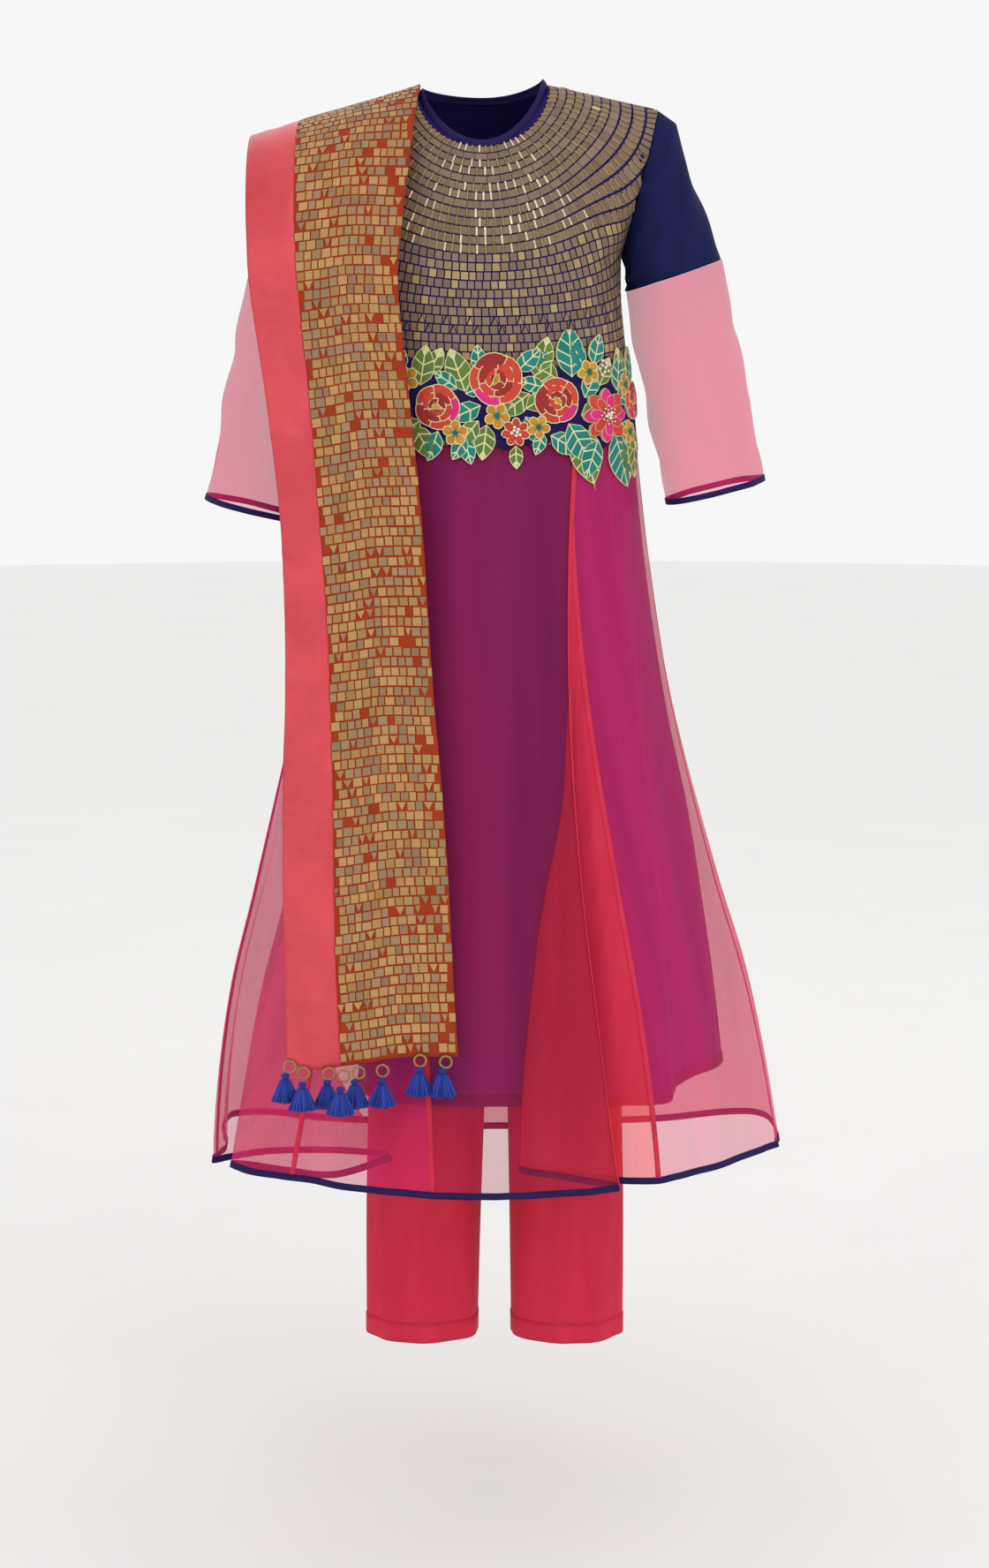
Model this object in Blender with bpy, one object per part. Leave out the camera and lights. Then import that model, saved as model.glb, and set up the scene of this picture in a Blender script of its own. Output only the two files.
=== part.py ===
"""Salwar kameez suit in its worn form: kameez, trousers and dupatta, with no wearer.

Metres, +Z up. The wearer faces -Y and the wearer's left is +X. The origin is on the line
of the shoulders, where the wearer holds the suit up. Cloth is a thin wall: each panel is a
grid of points on its outer face, and a Solidify modifier gives it its thickness inwards.
"""

import math

import bmesh
import bpy
from mathutils import Vector

# ---- walls and seams -----------------------------------------------------------------
SEAM = 0.0003            # gap between two pieces that are sewn together
TURNED_SEAM = 0.0012     # gap where the two pieces meet at an angle
MOST_TRIM = 0.25         # share of a narrow row that one side's gap may take
COTTON_WALL = 0.0014     # yoke, sleeves, lining and trousers
ORGANZA_WALL = 0.0011    # the sheer skirt and lower sleeves
BINDING_WALL = 0.0018    # folded binding strips

# ---- heights -------------------------------------------------------------------------
UNDERARM_Z = -0.165
YOKE_HEM_Z = -0.360
SKIRT_HEM_Z = -1.139
LINING_HEM_Z = -1.071
CROTCH_Z = -0.790
WAISTBAND_HEIGHT = 0.035

# ---- yoke ----------------------------------------------------------------------------
CHEST_SQUARENESS = 0.85  # power on the cosine of the chest oval, below 1 is squarer
TORSO = (
    # height, half_width, front, back, centre
    (-0.165, 0.1445, 0.112, 0.098, -0.0105),
    (-0.210, 0.1435, 0.114, 0.098, -0.0090),
    (-0.253, 0.1460, 0.114, 0.097, -0.0075),
    (-0.314, 0.1520, 0.113, 0.097, -0.0060),
    (-0.360, 0.1555, 0.112, 0.098, -0.0050),
)
NECK_CENTRE_X = -0.0125
NECK_HALF_WIDTH = 0.0685
NECK_FRONT_DEPTH = 0.072
NECK_BACK_DEPTH = 0.052
NECK_FRONT_Z = -0.052
NECK_BACK_Z = -0.006
NECK_POINT_Z = {+1: 0.0125, -1: 0.003}
NECK_SCOOP = 1.5         # power of the neckline's dip, above 1 keeps the neck points round
SHOULDER_TIP = {+1: (0.173, -0.013), -1: (-0.199, -0.030)}
FRONT_COLUMNS = 20
NECK_SHARE = 0.42        # share of the panel's columns that end on the neckline
ARMHOLE_BOW = 0.055      # how far the armhole stands forward and back of the shoulder
NECK_BAND = 0.009
FLOWER_BAND_TOP_Z = -0.262
FLOWER_BAND_WALL = 0.0016

# ---- sleeves (the wearer's left; the right one is mirrored and hangs lower) -------------
SLEEVE_MIRROR_X = -0.0105
SLEEVE_DROP = {+1: 0.0, -1: -0.020}
UPPER_SLEEVE = (
    # outer_x, outer_z, inner_x, inner_z, half_depth
    (0.1925, -0.0265, 0.1390, -0.178, 0.0620),
    (0.2065, -0.0730, 0.1400, -0.187, 0.0625),
    (0.2250, -0.1200, 0.1402, -0.195, 0.0615),
    (0.2425, -0.1685, 0.1404, -0.203, 0.0600),
)
LOWER_SLEEVE = (
    # outer_x, outer_z, inner_x, inner_z, half_depth
    (0.2426, -0.1690, 0.1405, -0.2035, 0.0600),
    (0.2545, -0.2200, 0.1480, -0.2530, 0.0590),
    (0.2650, -0.2690, 0.1590, -0.3010, 0.0575),
    (0.2800, -0.3440, 0.1710, -0.3730, 0.0560),
    (0.2897, -0.3990, 0.1822, -0.4250, 0.0545),
)
CUFF_BAND = 0.006

# ---- skirt of sheer organza ----------------------------------------------------------
# Station by station round the hem from the centre back, past the wearer's right side, the
# front and the left side. top_deg is the place on the yoke seam, 0 at the centre front.
# fold_x and fold_y carry the laid-over folds, which die out upwards.
SKIRT_STATIONS = (
    # top_deg, hem_x, hem_y, fold_x, fold_y, bow_x, dip
    (-180, 0.000, 0.212, 0.0, 0.0, 0.0, -0.030),
    (-168, -0.060, 0.206, 0.0, 0.0, 0.0, -0.028),
    (-156, -0.128, 0.213, 0.0, 0.0, 0.0, -0.024),
    (-143, -0.196, 0.202, 0.0, 0.0, 0.0, -0.018),
    (-130, -0.255, 0.206, 0.0, 0.0, -0.004, -0.012),
    (-118, -0.296, 0.176, 0.0, 0.0, -0.008, -0.006),
    (-107, -0.306, 0.120, 0.0, 0.0, -0.012, -0.004),
    (-99, -0.302, 0.060, 0.0, 0.0, -0.016, -0.002),
    (-93, -0.297, 0.000, 0.0, 0.0, -0.018, 0.0),
    (-90, -0.304, -0.040, 0.0, 0.0, -0.018, 0.0),
    (-87, -0.306, -0.058, 0.0, 0.0, -0.018, 0.0),
    (-84, -0.303, -0.064, 0.014, 0.016, -0.016, 0.001),
    (-80, -0.296, -0.070, 0.050, 0.036, -0.014, 0.004),
    (-76, -0.291, -0.075, 0.100, 0.030, -0.013, 0.008),
    (-72, -0.287, -0.080, 0.150, 0.013, -0.012, 0.011),
    (-69, -0.283, -0.084, 0.172, 0.004, -0.012, 0.010),
    (-66, -0.279, -0.088, 0.153, -0.010, -0.011, 0.007),
    (-63, -0.275, -0.091, 0.108, -0.036, -0.011, 0.002),
    (-60, -0.270, -0.094, 0.047, -0.011, -0.010, 0.0),
    (-57, -0.266, -0.098, -0.010, 0.024, -0.010, 0.0),
    (-54, -0.262, -0.102, -0.025, 0.024, -0.009, 0.0),
    (-50, -0.257, -0.106, -0.021, 0.016, -0.008, 0.0),
    (-43, -0.242, -0.117, -0.008, 0.005, -0.006, 0.0),
    (-36, -0.217, -0.132, 0.0, 0.0, 0.0, 0.0),
    (-36, -0.168, -0.163, 0.0, 0.0, 0.0, 0.0),
    (-36, -0.115, -0.190, 0.0, 0.0, 0.0, 0.0),
    (-36, -0.066, -0.205, 0.0, 0.0, 0.0, 0.0),
    (-17, -0.035, -0.209, 0.0, 0.0, 0.0, 0.0),
    (0, 0.000, -0.208, 0.0, 0.0, 0.0, 0.0),
    (14, 0.044, -0.205, 0.0, 0.0, -0.006, 0.0),
    (26, 0.088, -0.194, 0.0, 0.0, -0.012, 0.0),
    (33, 0.118, -0.181, 0.0, 0.0, -0.018, 0.0),
    (36, 0.131, -0.173, 0.0, 0.0, -0.020, 0.0),
    (36, 0.134, -0.171, -0.013, 0.011, -0.019, 0.0),
    (36, 0.139, -0.168, -0.062, 0.038, -0.016, 0.0),
    (36, 0.144, -0.165, -0.104, 0.056, -0.013, 0.0),
    (36, 0.149, -0.162, -0.120, 0.062, -0.010, 0.0),
    (36, 0.154, -0.159, -0.113, 0.063, -0.008, 0.0),
    (36, 0.160, -0.155, -0.075, 0.034, -0.004, 0.0),
    (36, 0.167, -0.150, -0.033, 0.006, 0.000, 0.0),
    (36, 0.174, -0.144, 0.0, 0.0, 0.006, 0.0),
    (50, 0.206, -0.117, 0.0, 0.0, 0.004, 0.0),
    (63, 0.245, -0.076, 0.0, 0.0, 0.0, 0.0),
    (75, 0.282, -0.025, 0.0, 0.0, 0.0, 0.0),
    (84, 0.306, 0.004, 0.0, 0.0, 0.0, 0.0),
    (90, 0.314, 0.026, 0.0, 0.0, 0.0, 0.0),
    (98, 0.317, 0.070, 0.0, 0.0, 0.0, -0.002),
    (108, 0.316, 0.128, 0.0, 0.0, 0.0, -0.004),
    (119, 0.306, 0.180, 0.0, 0.0, 0.0, -0.006),
    (131, 0.264, 0.207, 0.0, 0.0, 0.0, -0.012),
    (144, 0.200, 0.202, 0.0, 0.0, 0.0, -0.018),
    (157, 0.130, 0.213, 0.0, 0.0, 0.0, -0.024),
    (169, 0.062, 0.206, 0.0, 0.0, 0.0, -0.028),
    (180, 0.000, 0.212, 0.0, 0.0, 0.0, -0.030),
)
SIDE_SEAM_RIGHT = 9
GODET_RIGHT = (23, 26)
GODET_LEFT = (32, 40)
SIDE_SEAM_LEFT = 45
GODET_APEX = 0.10        # how far down the skirt the two godets begin, as a share
GODET_START = 0.175      # where a godet is wide enough for its panel to begin
GODET_BLEND = 2.0        # stations beyond the left godet that bend in to its closed top
SKIRT_DROPS = (0.0, 0.135, 0.22, 0.37, 0.53, 0.69, 0.85, 1.0)
BACK_STEPS = 1           # columns of the back panel between two stations
FRONT_STEPS = 2          # columns of the other panels between two stations
GODET_TRIM = 0.0019      # a godet's edges stand this far inside its seams
SKIRT_FLARE = (
    # drop, share of the way from the yoke seam to the hem
    (0.0, 0.0), (0.17, 0.10), (0.37, 0.265), (0.62, 0.575), (0.75, 0.765), (0.875, 0.90), (1.02, 1.02),
)
LEFT_FOLD = (
    # drop, share of the fold's width at the hem
    (0.0, 0.0), (0.30, 0.0), (0.36, 0.07), (0.49, 0.20), (0.63, 0.48), (0.70, 0.61), (0.86, 0.85),
    (1.02, 1.02),
)
RIGHT_FOLD = (
    # drop, share of the fold's width at the hem
    (0.0, 0.0), (0.45, 0.0), (0.60, 0.15), (0.75, 0.36), (0.87, 0.58), (0.92, 0.72), (1.02, 1.04),
)
HEM_BAND = 0.0065

# ---- lining of silk, from the yoke seam -------------------------------------------------
LINING_STATIONS = (
    # top_deg, hem_x, hem_y, dip
    (-180, 0.020, 0.128, -0.024),
    (-150, -0.062, 0.122, -0.020),
    (-120, -0.128, 0.084, -0.010),
    (-90, -0.150, 0.010, 0.0),
    (-65, -0.141, -0.048, 0.0),
    (-45, -0.108, -0.079, -0.002),
    (-20, -0.050, -0.087, -0.004),
    (0, 0.010, -0.088, -0.004),
    (20, 0.070, -0.087, -0.004),
    (40, 0.130, -0.088, -0.003),
    (56, 0.180, -0.089, -0.001),
    (62, 0.193, -0.080, 0.004),
    (67, 0.197, -0.056, 0.010),
    (75, 0.216, -0.034, 0.016),
    (83, 0.240, -0.012, 0.020),
    (90, 0.251, 0.014, 0.020),
    (100, 0.250, 0.050, 0.016),
    (122, 0.212, 0.098, 0.002),
    (150, 0.120, 0.122, -0.018),
    (180, 0.020, 0.128, -0.024),
)
LINING_SIDE_RIGHT = 3
LINING_SIDE_LEFT = 15
LINING_DROPS = (0.0, 0.20, 0.42, 0.62, 0.82, 1.0)
LINING_FLARE = (
    # drop, share of the way from the yoke seam to the hem
    (0.0, 0.0), (0.20, 0.148), (0.42, 0.375), (0.58, 0.60), (0.775, 0.81), (0.887, 0.915), (1.0, 1.0),
)

# ---- trousers ------------------------------------------------------------------------
LEG_ROWS = (
    # height, inner, outer, half_depth: distances from the middle plane
    (-1.351, 0.0170, 0.1440, 0.0560),
    (-1.200, 0.0135, 0.1450, 0.0600),
    (-1.050, 0.0090, 0.1430, 0.0640),
    (-0.900, 0.0040, 0.1440, 0.0740),
    (-0.790, 0.0003, 0.1480, 0.0820),
    (-0.740, 0.0003, 0.1490, 0.0850),
    (-0.670, 0.0003, 0.1470, 0.0860),
    (-0.561, 0.0003, 0.1380, 0.0850),
)
LEG_SIDES = 16

# ---- dupatta, folded lengthwise, over the wearer's right shoulder -----------------------
DUPATTA_ROWS = (
    # height, outer_x, border_x, inner_x, front_y, back_y
    (-1.000, -0.2174, -0.1605, -0.0379, -0.2070, 0.2110),
    (-0.905, -0.2200, -0.1660, -0.0435, -0.1920, 0.1960),
    (-0.814, -0.2215, -0.1680, -0.0480, -0.1770, 0.1780),
    (-0.703, -0.2215, -0.1695, -0.0560, -0.1620, 0.1580),
    (-0.630, -0.2190, -0.1715, -0.0628, -0.1530, 0.1460),
    (-0.538, -0.2190, -0.1750, -0.0691, -0.1440, 0.1330),
    (-0.437, -0.2235, -0.1825, -0.0758, -0.1340, 0.1220),
    (-0.309, -0.2378, -0.1925, -0.0885, -0.1280, 0.1160),
    (-0.191, -0.2543, -0.2040, -0.1000, -0.1250, 0.1120),
    (-0.128, -0.2570, -0.2072, -0.0955, -0.1220, 0.1080),
)
CREST = {"outer_x": -0.2580, "border_x": -0.2068, "inner_x": -0.0787}
CREST_OUTER_Z = -0.0390
CREST_INNER_Z = 0.0145
CREST_TURNS = 4          # rows between the chest and the crest of the shoulder
DUPATTA_WALL = 0.0014
UNDERLAYER_WALL = 0.0040
UNDERLAYER_GAP = 0.0013
UNDERLAYER_INSET = 0.0045
BORDER_COLUMNS = 2
MOSAIC_COLUMNS = 4
HEM_WAVE = (
    # share across the cloth from its outer edge, lift of the lower edge
    (0.0, 0.0035), (0.16, -0.0035), (0.30, -0.006), (0.45, -0.004), (0.60, 0.001), (0.76, 0.007),
    (1.0, 0.008),
)

TASSELS = (
    # ring_x, ring_below_edge, body_x, body_shift_y
    (-0.2140, 0.0050, -0.2190, 0.0),
    (-0.2000, 0.0080, -0.2005, -0.011),
    (-0.1732, 0.0040, -0.1750, 0.0),
    (-0.1576, 0.0060, -0.1605, -0.021),
    (-0.1420, 0.0040, -0.1460, 0.0),
    (-0.1170, 0.0060, -0.1177, -0.006),
    (-0.0777, 0.0030, -0.0787, 0.0),
    (-0.0509, 0.0050, -0.0545, 0.0),
)
RING_RADIUS = 0.0062
RING_WIRE = 0.0010
RING_SIDES = 9
WIRE_SIDES = 4
TASSEL_PROFILE = (
    # drop below the ring, radius
    (0.0006, 0.0016), (0.0040, 0.0034), (0.0080, 0.0026), (0.0180, 0.0078), (0.0330, 0.0100),
)
TASSEL_SIDES = 8

# ---- colours -------------------------------------------------------------------------
LOOKS = {
    # name: (red, green, blue), roughness
    "mosaic": ((0.24, 0.17, 0.11), 0.6),
    "navy": ((0.016, 0.018, 0.09), 0.7),
    "flowers": ((0.55, 0.10, 0.08), 0.7),
    "organza": ((0.85, 0.13, 0.25), 0.5),
    "silk": ((0.07, 0.02, 0.20), 0.4),
    "crimson": ((0.52, 0.04, 0.07), 0.8),
    "satin": ((0.70, 0.05, 0.07), 0.35),
    "brocade": ((0.42, 0.22, 0.10), 0.5),
    "thread": ((0.015, 0.03, 0.22), 0.9),
    "ring": ((0.38, 0.26, 0.09), 0.5),
}


def clear_scene():
    """Empty the file of objects."""
    for thing in list(bpy.data.objects):
        bpy.data.objects.remove(thing, do_unlink=True)


def make_looks():
    """One Principled material for each kind of cloth."""
    looks = {}
    for name, (colour, roughness) in LOOKS.items():
        look = bpy.data.materials.new(name)
        look.use_nodes = True
        shader = look.node_tree.nodes["Principled BSDF"]
        shader.inputs["Base Color"].default_value = (*colour, 1.0)
        shader.inputs["Roughness"].default_value = roughness
        shader.inputs["Metallic"].default_value = 0.0
        looks[name] = look
    return looks


def table_value(table, key, column=1):
    """Read a column of a table at key, in straight lines between its rows."""
    rows = sorted(table)
    if key <= rows[0][0]:
        return rows[0][column]
    for low, high in zip(rows, rows[1:]):
        if key <= high[0]:
            share = (key - low[0]) / (high[0] - low[0])
            return low[column] + share * (high[column] - low[column])
    return rows[-1][column]


def smooth_between(before, start, end, after, share):
    """A Catmull-Rom curve through start and end."""
    straight = 2 * start + (end - before) * share
    bend = (2 * before - 5 * start + 4 * end - after) * share ** 2
    turn = (3 * start - before - 3 * end + after) * share ** 3
    return (straight + bend + turn) / 2


def along_stations(stations, place):
    """Every column of a station table at a place along it, such as 3.5."""
    last = len(stations) - 1
    index = min(int(place), last - 1)
    share = place - index
    before = stations[index - 1 if index else last - 1]
    after = stations[index + 2 if index + 2 <= last else 1]
    start, end = stations[index], stations[index + 1]
    values = [start[0] + share * (end[0] - start[0])]
    for column in range(1, len(start)):
        values.append(
            smooth_between(before[column], start[column], end[column], after[column], share)
        )
    return values


def add_object(name, bm, look):
    """Turn a bmesh into a named object with one material, shaded smooth."""
    mesh = bpy.data.meshes.new(name)
    bm.to_mesh(mesh)
    bm.free()
    mesh.materials.append(look)
    mesh.shade_smooth()
    thing = bpy.data.objects.new(name, mesh)
    bpy.context.scene.collection.objects.link(thing)
    return thing


def add_sheet(name, rows, wall, look, inside, closed=False):
    """A panel of cloth: a grid of points on its outer face, walled inwards.

    inside is a point that the outer face looks away from.
    """
    bm = bmesh.new()
    grid = [[bm.verts.new(point) for point in row] for row in rows]
    columns = len(rows[0])
    spans = columns if closed else columns - 1
    for lower, upper in zip(grid, grid[1:]):
        for i in range(spans):
            j = (i + 1) % columns
            bm.faces.new((lower[i], lower[j], upper[j], upper[i]))
    bm.normal_update()
    facing = sum(
        face.normal.dot(face.calc_center_median() - inside) * face.calc_area() for face in bm.faces
    )
    if facing < 0:
        bmesh.ops.reverse_faces(bm, faces=bm.faces[:])
    thing = add_object(name, bm, look)
    cloth = thing.modifiers.new("cloth", "SOLIDIFY")
    cloth.thickness = wall
    cloth.offset = -1.0
    cloth.use_even_offset = False
    cloth.use_quality_normals = True
    return thing


def open_seams(rows, trim=SEAM / 2):
    """Draw the two side edges of a panel in by trim, or by less where it is narrow."""
    trimmed = []
    for row in rows:
        step = min(trim, (row[-1] - row[0]).length * MOST_TRIM)
        first = row[0] + (row[1] - row[0]).normalized() * step
        last = row[-1] + (row[-2] - row[-1]).normalized() * step
        trimmed.append([first, *row[1:-1], last])
    return trimmed


# ---- kameez: yoke ----------------------------------------------------------------------
def body_oval(degrees, z, outset=0.0):
    """A point on the oval of the body of the kameez, 0 degrees at the centre front."""
    angle = math.radians(degrees)
    half_width = table_value(TORSO, z, 1) + outset
    depth = table_value(TORSO, z, 2 if math.cos(angle) >= 0 else 3) + outset
    centre = table_value(TORSO, z, 4)
    cosine = math.cos(angle)
    forward = math.copysign(abs(cosine) ** CHEST_SQUARENESS, cosine)
    return Vector((centre + half_width * math.sin(angle), -depth * forward, z))


def yoke_top(across, side):
    """The top edge of a yoke panel: shoulder tip, neck point, neckline and back up.

    across runs from -1 to 1, side is -1 for the front and 1 for the back.
    """
    hand = 1 if across >= 0 else -1
    neck_point = Vector((NECK_CENTRE_X + hand * NECK_HALF_WIDTH, 0.0, NECK_POINT_Z[hand]))
    tip_x, tip_z = SHOULDER_TIP[hand]
    if abs(across) >= NECK_SHARE:
        share = (abs(across) - NECK_SHARE) / (1 - NECK_SHARE)
        return neck_point.lerp(Vector((tip_x, 0.0, tip_z)), share)
    turn = math.radians(90) * abs(across) / NECK_SHARE
    depth = NECK_FRONT_DEPTH if side < 0 else NECK_BACK_DEPTH
    lowest = NECK_FRONT_Z if side < 0 else NECK_BACK_Z
    return Vector(
        (
            NECK_CENTRE_X + hand * NECK_HALF_WIDTH * math.sin(turn),
            side * depth * math.cos(turn),
            NECK_POINT_Z[hand] + (lowest - NECK_POINT_Z[hand]) * math.cos(turn) ** NECK_SCOOP,
        )
    )


def yoke_point(across, rise, side):
    """A point of the yoke between the underarm (rise 0) and its top edge (rise 1)."""
    degrees = 90 * across if side < 0 else 180 - 90 * across
    base = body_oval(degrees, UNDERARM_Z)
    top = yoke_top(across, side)
    reach = abs(base.y)
    end = math.acos(min(1.0, abs(top.y) / reach)) if reach > 0.001 else math.radians(90)
    turn = math.asin(rise * math.sin(end))
    edge = max(0.0, (abs(across) - 0.35) / 0.65)
    bow = ARMHOLE_BOW * math.sin(math.pi * rise) ** 0.8 * edge ** 2 * (3 - 2 * edge)
    return Vector(
        (
            base.x + (top.x - base.x) * rise,
            base.y * math.cos(turn) + side * (bow + TURNED_SEAM / 2),
            base.z + (top.z - base.z) * rise,
        )
    )


RISE_STEPS = 7
RISES = [(1 - math.cos(math.pi * i / RISE_STEPS)) / 2 for i in range(RISE_STEPS + 1)]


def yoke_rows(side, columns):
    """Front or back of the yoke, from its lower edge to the shoulders and neckline."""
    acrosses = [-1 + 2 * i / columns for i in range(columns + 1)]
    rows = []
    for z in (YOKE_HEM_Z, -0.314, -0.262, -0.210):
        row = []
        for across in acrosses:
            degrees = 90 * across if side < 0 else 180 - 90 * across
            point = body_oval(degrees, z)
            row.append(point + Vector((0, side * TURNED_SEAM / 2, 0)))
        rows.append(row)
    for rise in RISES:
        rows.append([yoke_point(across, rise, side) for across in acrosses])
    return rows


def make_yoke(looks):
    """Front and back yoke, the band of flowers on the front and the neck binding."""
    inside = Vector((0, 0, -0.2))
    add_sheet("yoke_front", yoke_rows(-1, FRONT_COLUMNS), COTTON_WALL, looks["mosaic"], inside)
    add_sheet("yoke_back", yoke_rows(1, 16), COTTON_WALL, looks["mosaic"], inside)

    raised = SEAM + FLOWER_BAND_WALL + TURNED_SEAM / 2
    band = []
    for z in (YOKE_HEM_Z, -0.314, FLOWER_BAND_TOP_Z):
        degrees = [-90 + 180 * i / FRONT_COLUMNS for i in range(1, FRONT_COLUMNS)]
        band.append([body_oval(turn, z, raised) for turn in degrees])
    add_sheet("flower_band", band, FLOWER_BAND_WALL, looks["flowers"], inside)

    turns = [360 * i / 28 for i in range(28)]
    lower, upper = [], []
    for turn in turns:
        side = -1 if math.cos(math.radians(turn)) > 0 else 1
        share = math.degrees(math.asin(math.sin(math.radians(turn)))) / 90
        point = yoke_top(share * NECK_SHARE, side)
        inward = Vector((NECK_CENTRE_X, 0, point.z)) - point
        slope = (inward.normalized() * 0.55 + Vector((0, 0, 0.84))).normalized()
        lower.append(point + slope * (SEAM + COTTON_WALL))
        upper.append(point + slope * (NECK_BAND + COTTON_WALL))
    centre = Vector((NECK_CENTRE_X, 0, 0))
    add_sheet("neck_binding", [lower, upper], BINDING_WALL, looks["navy"], centre, closed=True)


# ---- kameez: sleeves -------------------------------------------------------------------
def mirror_to(hand, x):
    """Place an x of the left sleeve on the left (1) or the right (-1) arm."""
    return x if hand > 0 else 2 * SLEEVE_MIRROR_X - x


def sleeve_ring(row, hand):
    """A section of a sleeve: underarm, front, top of the arm, back."""
    outer_x, outer_z, inner_x, inner_z, half_depth = row
    drop = SLEEVE_DROP[hand]
    outer = Vector((mirror_to(hand, outer_x), 0, outer_z + drop))
    inner = Vector((mirror_to(hand, inner_x), 0, inner_z + drop))
    middle, arm = (outer + inner) / 2, (outer - inner) / 2
    ring = []
    for i in range(2 * RISE_STEPS):
        turn = math.pi * i / RISE_STEPS
        ring.append(middle - arm * math.cos(turn) + Vector((0, -half_depth * math.sin(turn), 0)))
    return ring


def armhole_ring(hand):
    """The armhole's edge on the yoke, in the order of a sleeve section."""
    front = [yoke_point(hand, rise, -1) for rise in RISES]
    back = [yoke_point(hand, rise, 1) for rise in reversed(RISES)]
    return front + back[1:-1]


def make_sleeve(looks, hand, suffix):
    """The opaque upper sleeve, the sheer lower sleeve and its binding."""
    rings = [sleeve_ring(row, hand) for row in UPPER_SLEEVE]
    head = []
    for i, (edge, below) in enumerate(zip(armhole_ring(hand), rings[0])):
        turned = max(0.0, -math.cos(math.pi * i / RISE_STEPS))
        gap = 2 * SEAM + COTTON_WALL * turned
        head.append(edge + (below - edge).normalized() * gap)
    arm = Vector((mirror_to(hand, 0.175), 0, -0.12 + SLEEVE_DROP[hand]))
    name = "sleeve_upper" + suffix
    add_sheet(name, [head, *rings], COTTON_WALL, looks["navy"], arm, closed=True)

    rings = [sleeve_ring(row, hand) for row in LOWER_SLEEVE]
    arm = Vector((mirror_to(hand, 0.215), 0, -0.30 + SLEEVE_DROP[hand]))
    name = "sleeve_lower" + suffix
    add_sheet(name, rings, ORGANZA_WALL, looks["organza"], arm, closed=True)

    along = [(after - before).normalized() for before, after in zip(rings[-2], rings[-1])]
    start = [point + step * SEAM for point, step in zip(rings[-1], along)]
    end = [point + step * CUFF_BAND for point, step in zip(rings[-1], along)]
    arm = sum(rings[-1], Vector()) / len(rings[-1])
    name = "cuff_binding" + suffix
    add_sheet(name, [start, end], BINDING_WALL, looks["navy"], arm, closed=True)


# ---- kameez: skirt ---------------------------------------------------------------------
def godet_of(place):
    """The godet that a place along the stations lies in, if it does."""
    for godet in (GODET_RIGHT, GODET_LEFT):
        if godet[0] <= place <= godet[1]:
            return godet
    return None


def skirt_point(place, drop):
    """A point of the sheer skirt: place along the stations, drop from 0 to 1."""
    values = along_stations(SKIRT_STATIONS, place)
    degrees, hem_x, hem_y, fold_x, fold_y, bow_x, dip = values
    flare = table_value(SKIRT_FLARE, drop)
    fold = table_value(LEFT_FOLD if place > 28 else RIGHT_FOLD, drop)
    top = body_oval(degrees, YOKE_HEM_Z)
    godet = godet_of(place)
    opened = max(0.0, (drop - GODET_APEX) / (1 - GODET_APEX))
    beyond = place - GODET_LEFT[1]
    if 0 < beyond < GODET_BLEND:
        closed = (1 - opened) * (1 - beyond / GODET_BLEND)
        bow_x += (SKIRT_STATIONS[GODET_LEFT[0]][5] - SKIRT_STATIONS[GODET_LEFT[1]][5]) * closed
    if godet:
        anchor = SKIRT_STATIONS[godet[0] if place > 28 else godet[1]]
        bow_x = anchor[5] + (bow_x - anchor[5]) * opened
        x = top.x + (anchor[1] - top.x) * flare + (hem_x - anchor[1]) * opened
        y = top.y + (anchor[2] - top.y) * flare + (hem_y - anchor[2]) * opened
    else:
        x = top.x + (hem_x - top.x) * flare
        y = top.y + (hem_y - top.y) * flare
    bow = bow_x * math.sin(math.pi * min(drop, 1.0)) ** 0.8
    top_z = YOKE_HEM_Z - SEAM
    z = top_z + (SKIRT_HEM_Z - top_z) * drop + dip * drop ** 2
    return Vector((x + bow + fold_x * fold, y + fold_y * fold, z))


def skirt_rows(first, last, steps, drops):
    """A panel of the skirt between two stations."""
    count = round((last - first) * steps)
    places = [first + (last - first) * i / count for i in range(count + 1)]
    return [[skirt_point(place, drop) for place in places] for drop in drops]


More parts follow.
